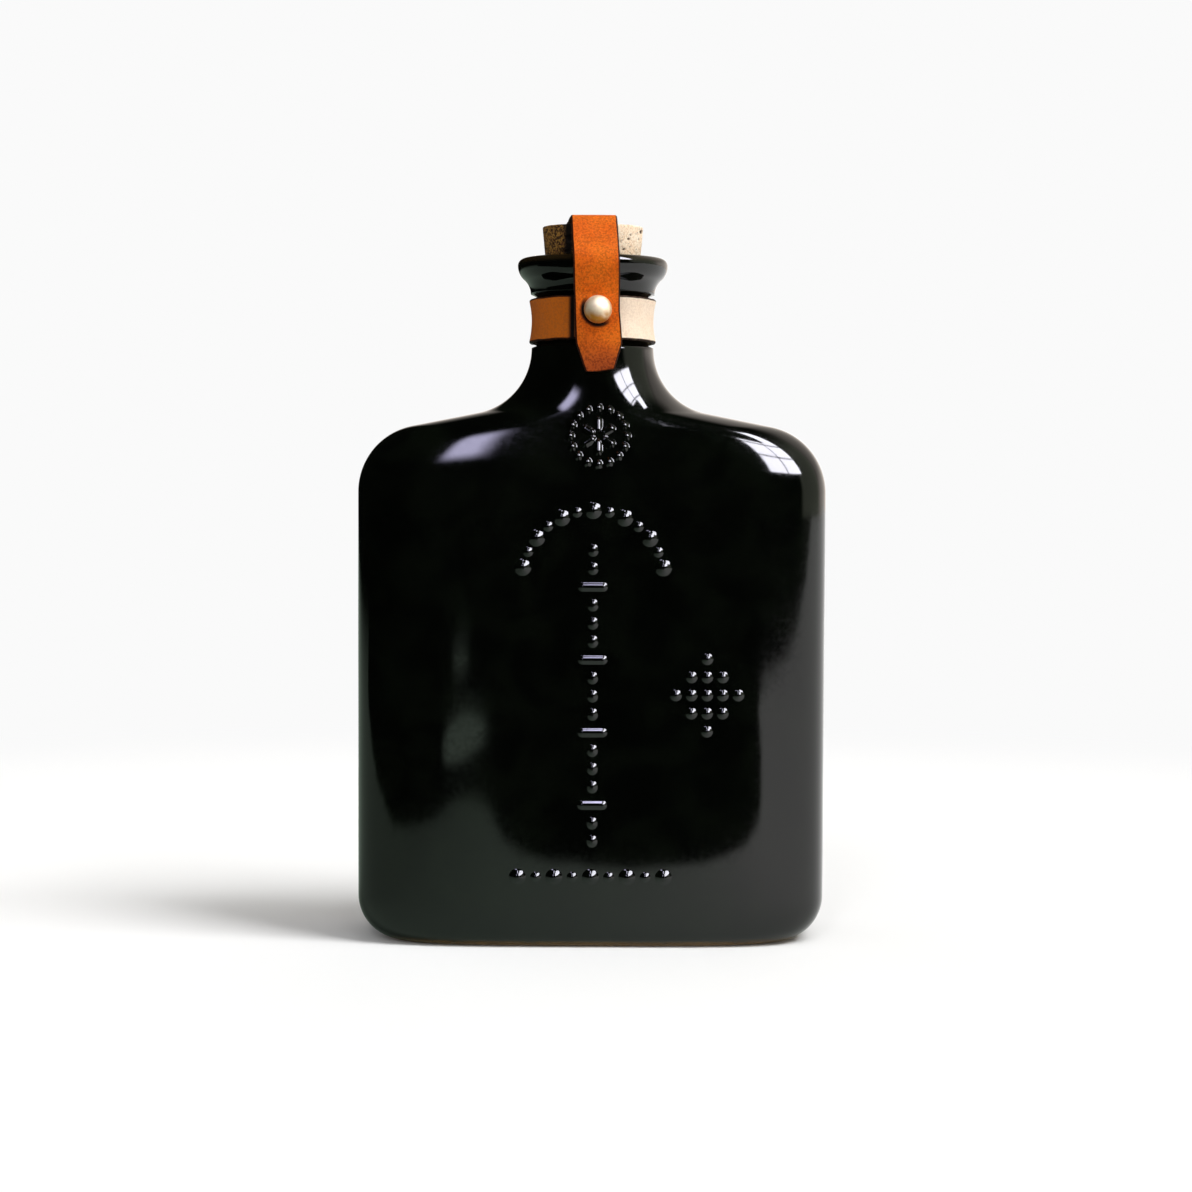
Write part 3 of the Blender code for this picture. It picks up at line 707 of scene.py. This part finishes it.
def front_marks(body, material):
    """The relief on the front: a graduated scale, an arch of beads, a rosette, a lozenge and a foot row."""
    strokes = {name: [] for name in RELIEF}
    for index in range(SCALE_COUNT):
        height = SCALE_TOP - SCALE_PITCH * index
        if index % 4 == 2:
            strokes["scale_bars"].append(((SCALE_AXIS - BAR_HALF, height), (SCALE_AXIS + BAR_HALF, height)))
        else:
            ends = (SCALE_AXIS, height + BEAD_STRETCH), (SCALE_AXIS, height - BEAD_STRETCH)
            strokes["scale_beads"].append(ends)
    for index in range(13):
        name = "arch_beads" if index % 2 else "arch_drops"
        strokes[name].append((about(ARCH_CENTRE, ARCH_RADIUS, 12 + 156 * index / 12),) * 2)
    for index in range(16):
        strokes["rosette_ring"].append((about(ROSETTE_CENTRE, ROSETTE_RADIUS, 22.5 * index),) * 2)
    for angle in range(30, 390, 60):
        ends = about(ROSETTE_CENTRE, PETAL_INNER, angle), about(ROSETTE_CENTRE, PETAL_OUTER, angle)
        strokes["rosette_petals"].append(ends)
    for row, count in enumerate((1, 3, 5, 3, 1)):
        for index in range(count):
            across = LOZENGE_CENTRE[0] + LOZENGE_PITCH[0] * (index - (count - 1) / 2)
            upward = LOZENGE_CENTRE[1] + LOZENGE_PITCH[1] * (2 - row)
            strokes["lozenge_beads"].append(((across, upward),) * 2)
    for index in range(9):
        name = "foot_beads" if index % 2 else "foot_drops"
        strokes[name].append(((FOOT_LENGTH * (index - 4) / 8, FOOT_HEIGHT),) * 2)
    tree = marks_tree()
    for name, ends in strokes.items():
        raised_marks(name, ends, body, tree, material)


def pore_depth(place):
    """How deep the cork's pores and nicks are at a point, 0 to 1: short slots that lie level."""
    slots = noise.noise(Vector((place.x * 520, place.y * 520, place.z * 950)) + Vector((4.2, 9.1, 2.6)))
    dots = noise.noise(place * 1700 + Vector((1.7, 3.3, 8.8)))
    return max(smooth(slots, 0.42, 0.56), 0.55 * smooth(dots, 0.50, 0.64))


def painted_strap_shadow(place, reach):
    """How much painted shadow of the strap darkens a point along its left edge at the front, within a reach:
    0 to 1.
    """
    if place.y > 0:
        return 0.0
    side = place.x + STRAP_WIDTH / 2
    return smooth(side, -reach, -reach * 0.3) * smooth(side, 0.0009, 0.0002)


def painted_left_shade(place, bottom):
    """How much painted shade, for the side away from the light, darkens a point above a height: only the
    front left, and there 0 to 1.
    """
    front = smooth(place.y, 0.0060, 0.0010)
    return smooth(place.x, 0.0030, -0.0030) * front * smooth(place.z, bottom, bottom + 0.0040)


def cork_piece(material):
    """The tapered cork, with its pores sunk in the part that stands out of the mouth."""
    bottom = CORK_TOP - CORK_LENGTH
    proud = LIP_TOP - CORK_SUNK
    rows = [(2 * POLE, bottom), (CORK_BOTTOM_RADIUS / 2, bottom), (CORK_BOTTOM_RADIUS - CORK_EDGE, bottom)]
    rows += [(cork_radius(height), height) for height in (bottom + CORK_EDGE, *CORK_ROWS)]
    rows += [(cork_radius(height), height) for height in spread(proud, CORK_TOP - CORK_EDGE, 52)]
    rows += arc((CORK_TOP_RADIUS - CORK_EDGE, CORK_TOP - CORK_EDGE), CORK_EDGE, 30, 90, 2)
    flat = CORK_TOP_RADIUS - CORK_EDGE
    rows += [(radius + 2 * POLE, CORK_TOP) for radius in spread(flat, 0, 44)[1:]]
    bm = loft([circle(radius, height, CORK_SEGMENTS) for radius, height in rows])
    bm.normal_update()
    depths = [pore_depth(vert.co) * smooth(vert.co.z, *PORE_HEIGHTS) for vert in bm.verts]
    moves = []
    for vert, depth in zip(bm.verts, depths):
        rough = noise.noise(vert.co * 2600) * 0.00003 + noise.noise(vert.co * 400) * 0.00005
        moves.append(vert.normal * (rough - 0.00002 - depth * PORE_DEPTH))
    for vert, move in zip(bm.verts, moves):
        vert.co += move
        upper = smooth(vert.co.z, CORK_TOP - 0.0040, CORK_TOP - 0.0002)
        vert.co.z += RIM_LIFT * upper * smooth(abs(vert.co.x), 0.0046, 0.0098)
    piece = mesh_object("tapered_cork", bm, material)
    paint(piece.data, "pore", lambda index, place: depths[index])
    # Painted shade on the front left of the proud part, away from the light
    paint(piece.data, "painted_shade", lambda index, place: painted_left_shade(place, LIP_TOP - 0.0050))

    # Painted shadow of the strap along its left edge, on the cork above the lip
    def painted_shadow(index, place):
        return painted_strap_shadow(place, 0.0018) * smooth(place.z, LIP_TOP - 0.0030, LIP_TOP)

    paint(piece.data, "painted_shadow", painted_shadow)
    return piece


def band_slice(lift, angle):
    """One upright slice of the band at an angle from the rear, its edges rounded, as (point, edge, flesh)."""
    rise = BAND_RISE * (1 - math.cos(angle)) / 2
    half = BAND_HEIGHT / 2
    turn = BAND_TURN
    outline = [(LEATHER, up, 0.0, 0.0) for up in spread(turn - half, half - turn, 12)]
    for across, up in arc((LEATHER - turn, half - turn), turn, 15, 90, 5):
        outline.append((across, up, 1.0, 0.0))
    outline += [(LEATHER / 2, half, 1.0, 0.0), (turn, half, 1.0, 0.5)]
    outline += [(0.0, up, 0.0, 1.0) for up in spread(half - turn, turn - half, 8)]
    outline += [(turn, -half, 1.0, 0.5), (LEATHER / 2, -half, 1.0, 0.0)]
    for across, up in arc((LEATHER - turn, -half + turn), turn, -90, -15, 5):
        outline.append((across, up, 1.0, 0.0))
    ring = []
    for across, up, edge, flesh in outline:
        height = BAND_MIDDLE + rise + up
        radius = waist_radius(height) + SEAT_GAP + lift + across
        wander = noise.noise(Vector((math.cos(angle) * 3, math.sin(angle) * 3, up * 400))) * 0.00005
        radius += wander * (1 - flesh)
        height += noise.noise(Vector((math.cos(angle) * 6, math.sin(angle) * 6, 5.0))) * 0.00008
        ring.append((Vector((-radius * math.sin(angle), radius * math.cos(angle), height)), edge, flesh))
    return ring


def band_piece(material):
    """The natural leather band, whose outer end laps over the inner one at the rear."""
    start = -LAP_ANGLE / 2
    slices = []
    for angle in spread(start, math.tau - start, BAND_SLICES):
        climb = smooth(angle, math.tau + start - LAP_RAMP, math.tau + start)
        slices.append(band_slice(BAND_STEP * climb, angle))
    points = [point for ring in slices for point in ring]
    bm = loft([[point[0] for point in ring] for ring in slices])
    piece = mesh_object("leather_band", bm, material)
    count = len(slices[0])

    def edge(index, place):
        return points[index][1] if count <= index < len(points) - count else 1.0

    paint(piece.data, "edge", edge)
    paint(piece.data, "flesh", lambda index, place: points[index][2])
    # Painted shade on the front left, away from the light
    paint(piece.data, "painted_shade", lambda index, place: painted_left_shade(place, 0))
    # Painted shadow of the strap along its left edge
    paint(piece.data, "painted_shadow", lambda index, place: painted_strap_shadow(place, 0.0011))
    piece.data.transform(Matrix.Rotation(HARNESS_TURN, 4, "Z"))
    return piece


def rounded_path(corners, steps):
    """Points along straight runs in the side view, joined by arcs. Each corner is (Y, height, radius)."""
    path = [Vector(corners[0][:2])]
    for before, corner, after in zip(corners, corners[1:], corners[2:]):
        here = Vector(corner[:2])
        arrive = (here - Vector(before[:2])).normalized()
        leave = (Vector(after[:2]) - here).normalized()
        turn = math.atan2(arrive.x * leave.y - arrive.y * leave.x, arrive.dot(leave))
        radius = corner[2]
        start = here - arrive * radius * math.tan(abs(turn) / 2)
        centre = start + Vector((-arrive.y, arrive.x)) * math.copysign(radius, turn)
        spoke = start - centre
        for index in range(steps + 1):
            swung = Matrix.Rotation(turn * index / steps, 2) @ spoke
            path.append(centre + swung)
    path.append(Vector(corners[-1][:2]))
    return path


def strap_path():
    """The strap's inner face, from the riveted end at the rear over the cork to the clipped tip in front."""
    over = CORK_TOP_RADIUS + SEAT_GAP
    corners = (
        (TAIL_INNER, TAIL_BOTTOM, 0),
        (TAIL_INNER, HINGE_HEIGHT, HINGE_BEND),
        (STRAP_LIP, LIP_TOP - LIP_ROUND, LIP_BEND),
        (over, STRAP_OVER, CORK_BEND),
        (-over, STRAP_OVER, CORK_BEND),
        (-STRAP_LIP, LIP_TOP - LIP_ROUND, LIP_BEND),
        (-STRAP_FRONT, STUD_HEIGHT + STUD_RUN, STUD_BEND),
        (-STRAP_FRONT, STRAP_TIP, 0),
    )
    points = []
    for across, height in rounded_path(corners, 16):
        lean = math.tan(TIP_LEAN) * max(STUD_HEIGHT - height, 0) if across < 0 else 0
        lean -= STRAP_SHIFT * smooth(height, STUD_HEIGHT, STRAP_OVER) * smooth(across, 0.0158, 0.0095)
        points.append(Vector((lean, across, height)))
    points.insert(-1, Vector((0, -STRAP_FRONT, STUD_HEIGHT)))
    return points


def bend_tree():
    """Geometry Nodes: bends a flat pattern along a path. X stays across, Y runs along it, Z stands off it.

    The bend turns the pattern inside out, so its faces are flipped back.
    """
    sockets = (("Geometry", "Geometry"), ("Path", "Object"), ("Hide", "Material"))
    tree, given = start_group("bend_along_path", sockets)
    place = add(tree, "GeometryNodeInputPosition").outputs[0]
    apart = add(tree, "ShaderNodeSeparateXYZ", {0: place}).outputs
    route = add(tree, "GeometryNodeObjectInfo", {"Object": given["Path"]}).outputs["Geometry"]
    inputs = {"Curves": route, "Length": apart["Y"]}
    sample = add(tree, "GeometryNodeSampleCurve", inputs, mode="LENGTH").outputs
    inputs = {0: sample["Tangent"], 1: (1, 0, 0)}
    outward = add(tree, "ShaderNodeVectorMath", inputs, operation="CROSS_PRODUCT").outputs[0]
    place = summed(tree, sample["Position"], scaled(tree, outward, apart["Z"]))
    place = summed(tree, place, add(tree, "ShaderNodeCombineXYZ", {"X": apart["X"]}).outputs[0])
    inputs = {"Geometry": given["Geometry"], "Position": place}
    bent = add(tree, "GeometryNodeSetPosition", inputs).outputs[0]
    bent = add(tree, "GeometryNodeFlipFaces", {"Mesh": bent}).outputs[0]
    finish_group(tree, bent, given["Hide"])
    return tree


def pattern_slice(along, length, stud):
    """One slice across the flat strap: outer face, edge, inner face and edge, as (point, edge, flesh)."""
    half = STRAP_WIDTH / 2
    from_tip = length - along
    if along < TAIL_CORNER:
        half -= TAIL_CORNER - math.sqrt(TAIL_CORNER ** 2 - (TAIL_CORNER - along) ** 2)
    half = min(half, (TIP_WIDTH + (STRAP_WIDTH - TIP_WIDTH) * from_tip / TIP_LENGTH) / 2)
    half += noise.noise(Vector((along * 180, 2.0, 7.0))) * 0.00007
    half -= 0.00012 * math.exp(-((along - stud) / 0.004) ** 2)
    turn = STRAP_TURN
    end = min(along, from_tip)
    pinch = turn - math.sqrt(max(turn ** 2 - max(turn - end, 0) ** 2, 0))
    top = LEATHER - pinch
    low = pinch
    flat = spread(turn - half, half - turn, STRAP_ACROSS)
    outline = [(across, top, 0.0, 0.0) for across in reversed(flat)]
    for across, up in arc((0, 0), turn, 105, 180, 5):
        outline.append((-half + turn + across, top - turn + up, 1.0, 0.0))
    for across in flat:
        outline.append((across, low, 1.0 if across in (flat[0], flat[-1]) else 0.0, 1.0))
    for across, up in arc((0, 0), turn, 0, 75, 5):
        outline.append((half - turn + across, top - turn + up, 1.0, 0.0))
    ring = []
    for across, up, edge, flesh in outline:
        away = math.hypot(across, along - stud)
        swell = HOLE_SWELL * math.exp(-(away / SWELL_REACH) ** 2)
        above = stud - along
        crease = 0.0
        for side, start, stop in CREASES:
            reach = smooth(above, start, start + 0.0012) * smooth(above, stop, stop - 0.0020)
            crease += CREASE_DEPTH * reach * math.exp(-((across - side) / CREASE_WIDTH) ** 2)
        wander = noise.noise(Vector((across * 130, along * 130, 3.0))) * 0.00006
        up += (swell - crease + wander) * (1 - flesh)
        ring.append((Vector((across, along, up)), max(edge, smooth(end, 0.0003, 0.0)), flesh))
    return ring


def strap_piece(material):
    """The strap in one strip: a flat pattern with a buttonhole, bent along the path over the cork."""
    path = strap_path()
    lengths = [(after - before).length for before, after in zip(path, path[1:])]
    length = sum(lengths)
    stud = length - (STUD_HEIGHT - STRAP_TIP) / math.cos(TIP_LEAN)
    marks = [0.0, 0.0001, 0.00025]
    marks += spread(STRAP_TURN, length - STRAP_TURN, STRAP_SLICES)
    marks += [length - 0.00025, length - 0.0001, length]
    slices = [pattern_slice(along, length, stud) for along in marks]
    points = [point for ring in slices for point in ring]
    pattern = mesh_object("strap_pattern", loft([[point[0] for point in ring] for ring in slices]), material)
    paint(pattern.data, "edge", lambda index, place: points[index][1])
    paint(pattern.data, "flesh", lambda index, place: points[index][2])
    # Painted shade on the tip, which turns down away from the light
    paint(pattern.data, "painted_shade", lambda index, place: smooth(place.y, length - 0.0080, length - 0.0005))

    # Painted shadow of the ball on the strap: a ring round the hole, dark at its lower left
    def painted_shadow(index, place):
        across, up = place.x, stud - place.y
        ring = smooth(math.hypot(across, up), SHADOW_RING_OUTER, SHADOW_RING_INNER)
        return ring * smooth(across + up, 0.0018, -0.0018)

    paint(pattern.data, "painted_shadow", painted_shadow)
    for vert in pattern.data.vertices:
        vert.co.y -= TIP_SLANT * vert.co.x * smooth(vert.co.y, length - TIP_LENGTH, length)
    hole = loft([circle(HOLE_RADIUS, height, 48) for height in (-0.002, 0.004)])
    bmesh.ops.translate(hole, verts=hole.verts, vec=(0, stud, 0))
    punch = mesh_object("hole_punch", hole, material)
    slit = bmesh.new()
    bmesh.ops.create_cube(slit, size=1)
    bmesh.ops.scale(slit, verts=slit.verts, vec=(SLIT_WIDTH, SLIT_LENGTH, 0.006))
    bmesh.ops.translate(slit, verts=slit.verts, vec=(0, stud - HOLE_RADIUS - SLIT_LENGTH / 2 + 0.0003, 0))
    knife = mesh_object("slit_knife", slit, material)
    for cutter in (punch, knife):
        boolean = pattern.modifiers.new(cutter.name, "BOOLEAN")
        boolean.object = cutter
    curve = bpy.data.curves.new("strap_route", "CURVE")
    curve.dimensions = "3D"
    spline = curve.splines.new("POLY")
    spline.points.add(len(path) - 1)
    for point, place in zip(spline.points, path):
        point.co = (*place, 1)
    route = new_object("strap_route", curve)
    bend = pattern.modifiers.new("bend_along_path", "NODES")
    bend.node_group = bend_tree()
    set_inputs(bend, {"Path": route, "Hide": material})
    piece = evaluated(pattern, "leather_strap", material)
    for helper in (punch, knife, route):
        bpy.data.objects.remove(helper)
    piece.data.transform(Matrix.Rotation(HARNESS_TURN, 4, "Z"))
    piece.data.set_sharp_from_angle(angle=math.radians(50))
    return piece


def turned_metal(name, rows, facing, seat, height, material):
    """A turned fitting made along +Z, then laid on the harness facing the front or the rear."""
    bm = loft([circle(radius, along, 96) for radius, along in rows])
    place = Matrix.Rotation(HARNESS_TURN, 4, "Z") @ Matrix.Translation((0, seat * facing, height))
    bm.transform(place @ Matrix.Rotation(math.radians(-90 * facing), 4, "X"))
    piece = mesh_object(name, bm, material)
    piece.data.set_sharp_from_angle(angle=math.radians(40))
    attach(piece, "collar")
    return piece


def metal_pieces(material):
    """The ball stud that the strap buttons on, and the domed rivet cap at the rear."""
    centre = BALL_CENTRE - STUD_SEAT
    waist = math.degrees(math.asin(STUD_NECK / BALL_RADIUS))
    edge = METAL_EDGE
    rows = [(POLE, 0), (FLANGE_RADIUS - edge, 0), (FLANGE_RADIUS, edge)]
    rows += [(FLANGE_RADIUS, FLANGE_THICKNESS - edge), (FLANGE_RADIUS - edge, FLANGE_THICKNESS)]
    rows += [(STUD_NECK, FLANGE_THICKNESS)]
    for radius, along in arc((0, centre), BALL_RADIUS, waist - 90, 89, 48):
        rows.append((radius, along if along < centre else centre + (along - centre) * BALL_FLATNESS))
    stud = turned_metal("brass_ball_stud", rows, -1, STUD_SEAT, STUD_HEIGHT, material)
    middle = Matrix.Rotation(HARNESS_TURN, 3, "Z") @ Vector((0, -BALL_CENTRE, STUD_HEIGHT))

    # Painted shade and reflection on the ball: golden over its lower part, round its rim and in a patch at
    # the lower right
    def painted_shade_and_tarnish(index, place):
        from_middle = (place - middle) / BALL_RADIUS
        wedge = math.exp(-((from_middle.x - 0.62) ** 2 + (from_middle.z + 0.42) ** 2) / 0.06)
        rim = smooth(math.hypot(from_middle.x, from_middle.z), 0.72, 1.0) * smooth(from_middle.z, 0.9, 0.2)
        return max(smooth(-from_middle.z - 0.25 * from_middle.x, 0.05, 0.72), 0.8 * wedge, 0.8 * rim)

    paint(stud.data, "painted_shade_and_tarnish", painted_shade_and_tarnish)
    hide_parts("ball_stud")
    dome = CAP_HEIGHT - CAP_RIM
    rows = [(POLE, 0), (CAP_RADIUS - edge, 0), (CAP_RADIUS, edge)]
    for angle in spread(0, math.radians(89), 24):
        rows.append((CAP_RADIUS * math.cos(angle), CAP_RIM + dome * math.sin(angle)))
    cap = turned_metal("brass_rivet_cap", rows, 1, CAP_SEAT, BAND_MIDDLE, material)
    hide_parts("rivet_cap")


glaze = black_glaze()
body = glazed_body(glaze)
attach(body, "flask")
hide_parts("flask_body")
front_marks(body, glaze)

cork = cork_piece(natural_cork())
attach(cork, "stopper")
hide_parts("cork")

band = band_piece(leather("natural_leather", "ffead4", "fae0c6", "bd6212", "8a4d22", "c9a07a", 0.12))
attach(band, "collar")
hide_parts("neck_band")

strap = strap_piece(leather("russet_leather", "f67a17", "e7660d", "a84a19", "541d06", "96602f", 0.36))
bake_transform(strap)
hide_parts("strap", "strap_tail")

brass = polished_brass()
metal_pieces(brass)
for node in ("stud_screw", "rivet_post"):
    for slot in bpy.data.objects[node].material_slots:
        slot.material = brass


def lamp(tree, colour, strength):
    """A background of one colour, a hex code or a socket."""
    colour = linear(colour) if isinstance(colour, str) else colour
    return add(tree, "ShaderNodeBackground", {"Color": colour, "Strength": strength}).outputs[0]


def span(tree, value, low, high, edge):
    """1 between low and high and 0 outside them, with soft edges."""
    first = step(tree, value, low - edge, low + edge)
    return times(tree, first, step(tree, value, high + edge, high - edge))


def studio_world():
    """The room round the table, by bearing from the camera's side and by rise, both in degrees.

    A barred window is at the front right, with two small panes above it, and a faint one is at the front
    left. The walls are pale at the right and the rear, and dark at the front left. Matte surfaces get the
    barred window from further round and higher, and soft light that no surface mirrors. The camera sees
    plain white behind the flask.
    """
    world = bpy.data.worlds.new("studio")
    world.use_nodes = True
    tree = world.node_tree
    way = add(tree, "ShaderNodeTexCoord").outputs["Generated"]
    way = add(tree, "ShaderNodeSeparateXYZ", {0: way}).outputs
    round_about = calc(tree, "ARCTAN2", way["X"], times(tree, way["Y"], -1.0))
    bearing = times(tree, round_about, math.degrees(1))
    rise = times(tree, calc(tree, "ARCSINE", way["Z"]), math.degrees(1))
    light = add(tree, "ShaderNodeLightPath").outputs
    glossy = light["Is Glossy Ray"]
    matte = rest_of(tree, glossy)
    turned = calc(tree, "ADD", bearing, calc(tree, "MULTIPLY_ADD", glossy, MATTE_TURN, -MATTE_TURN))
    raised = calc(tree, "ADD", rise, calc(tree, "MULTIPLY_ADD", glossy, MATTE_RISE, -MATTE_RISE))
    window = 0.0
    for left, right, bottom, top in PANES:
        pane = times(tree, span(tree, turned, left, right, 0.7), span(tree, raised, bottom, top, 0.7))
        window = calc(tree, "MAXIMUM", window, pane)
    bars = [span(tree, bearing, *UPRIGHT_BAR, 0.4)]
    bars += [span(tree, rise, *bar, 0.4) for bar in LEVEL_BARS]
    for bar in bars:
        window = times(tree, window, rest_of(tree, bar))
    faint = times(tree, span(tree, bearing, -17, -8, 2.5), span(tree, rise, 31, 48, 4), 0.5)
    strength = calc(tree, "MULTIPLY_ADD", glossy, 10.0, 13.6)
    tint = blend_colour(tree, step(tree, bearing, 0, 10), "dedaff", "f4f3ff")
    tint = blend_colour(tree, glossy, "ffffff", tint)
    windows = lamp(tree, tint, times(tree, calc(tree, "ADD", window, faint), strength))
    low = step(tree, rise, 68, 44)
    rear = calc(tree, "MAXIMUM", step(tree, bearing, 104, 122), step(tree, bearing, -168, -178))
    rear = lamp(tree, "fff4ea", times(tree, rear, step(tree, rise, 5, 20, 1.15, 0.62), low))
    side = times(tree, span(tree, bearing, 60, 112, 4), low)
    side = lamp(tree, "eef4dc", calc(tree, "MULTIPLY_ADD", side, 0.5, 0.004))
    left = times(tree, span(tree, bearing, -150, 0, 10), low, 0.48)
    above = step(tree, rise, 48, 66, 0.0, 0.40)
    front = times(tree, span(tree, bearing, -30, 40, 10), step(tree, rise, 42, 22, 0.0, 1.3))
    soft = calc(tree, "MAXIMUM", calc(tree, "MAXIMUM", left, above), front)
    soft = lamp(tree, "ffffff", times(tree, soft, matte))
    lit = rear
    for part in (side, windows, soft):
        lit = add(tree, "ShaderNodeAddShader", {0: lit, 1: part}).outputs[0]
    white = lamp(tree, "ffffff", WHITE)
    seen = add(tree, "ShaderNodeMixShader", {0: light["Is Camera Ray"], 1: lit, 2: white}).outputs[0]
    feed(tree.nodes["World Output"], {"Surface": seen})
    bpy.context.scene.world = world


def paper_floor():
    """White paper on a dark table: the paper's wavy front edge shows only in the reflections on the flask."""
    material, tree, shader = start_material("white_paper")
    place = add(tree, "ShaderNodeTexCoord").outputs["Object"]
    apart = add(tree, "ShaderNodeSeparateXYZ", {0: place}).outputs
    edge = add(tree, "ShaderNodeFloatCurve", {"Value": step_line(tree, apart["X"], -0.6, 0.6)})
    shape_curve(edge, PAPER_EDGE)
    edge = calc(tree, "MULTIPLY_ADD", edge.outputs[0], 0.9, -0.1)
    wobble = calc(tree, "MULTIPLY_ADD", grain(tree, 0.045, 2), 0.04, -0.02)
    beyond = calc(tree, "ADD", apart["Y"], calc(tree, "ADD", edge, wobble))
    # Beyond the wavy front edge the table is dark, and the paper is painted darker at its left as painted
    # shade, seen only in the flask's reflections
    paper = times(tree, step(tree, beyond, -0.012, 0.006), step(tree, apart["X"], -0.11, 0.11, 0.35, 1.0))
    # Painted glints of the windows on the table, which the flask's reflections show
    for centre, size in PAINTED_TABLE_GLINTS:
        across = calc(tree, "DIVIDE", calc(tree, "SUBTRACT", apart["X"], centre[0]), size[0])
        along = calc(tree, "DIVIDE", calc(tree, "SUBTRACT", apart["Y"], centre[1]), size[1])
        away = calc(tree, "ADD", times(tree, across, across), times(tree, along, along))
        paper = calc(tree, "MAXIMUM", paper, step(tree, away, 1.2, 0.7, 0.0, 0.8))
    gone = times(tree, step(tree, apart["X"], -0.4, -1.4), step(tree, apart["X"], 0, -0.01))
    paper = times(tree, paper, rest_of(tree, gone))
    light = add(tree, "ShaderNodeLightPath").outputs
    plain = times(tree, rest_of(tree, light["Is Glossy Ray"]), 0.45)
    shown = calc(tree, "MAXIMUM", calc(tree, "MAXIMUM", paper, plain), light["Is Camera Ray"])
    green = times(tree, step(tree, apart["X"], 0.08, -0.05), light["Is Glossy Ray"])
    white = blend_colour(tree, green, "f3f3f3", "cfe6d3")
    colour = blend_colour(tree, shown, "080808", white)
    feed(shader, {"Base Color": colour, "Roughness": 1.0, "Specular IOR Level": 0.0})
    glow = add(tree, "ShaderNodeEmission", {"Color": linear("ffffff"), "Strength": WHITE}).outputs[0]
    away = add(tree, "ShaderNodeVectorMath", {0: place}, operation="LENGTH").outputs["Value"]
    far = times(tree, step(tree, away, 0.22, 0.42), light["Is Camera Ray"])
    mixed = add(tree, "ShaderNodeMixShader", {0: far, 1: shader.outputs[0], 2: glow}).outputs[0]
    feed(tree.nodes["Material Output"], {"Surface": mixed})
    bm = bmesh.new()
    bmesh.ops.create_grid(bm, x_segments=4, y_segments=4, size=6)
    floor = mesh_object("paper_floor", bm, material)


def place_camera():
    """The photograph's view: from half a metre, level with the shoulders and turned slightly down."""
    data = bpy.data.cameras.new("view")
    data.sensor_width = 36
    data.lens = 36 * VIEW_FOCUS / PHOTO_SIZE
    data.clip_start = 0.01
    camera = new_object("view", data)
    pitch = math.atan2(PHOTO_SIZE / 2 - LEVEL_ROW, VIEW_FOCUS)
    camera.location = (VIEW_ACROSS, -VIEW_DISTANCE, VIEW_HEIGHT)
    camera.rotation_euler = (math.radians(90) - pitch, VIEW_ROLL, 0)
    bpy.context.scene.camera = camera


studio_world()
paper_floor()
place_camera()
bpy.context.scene.view_settings.view_transform = "Standard"
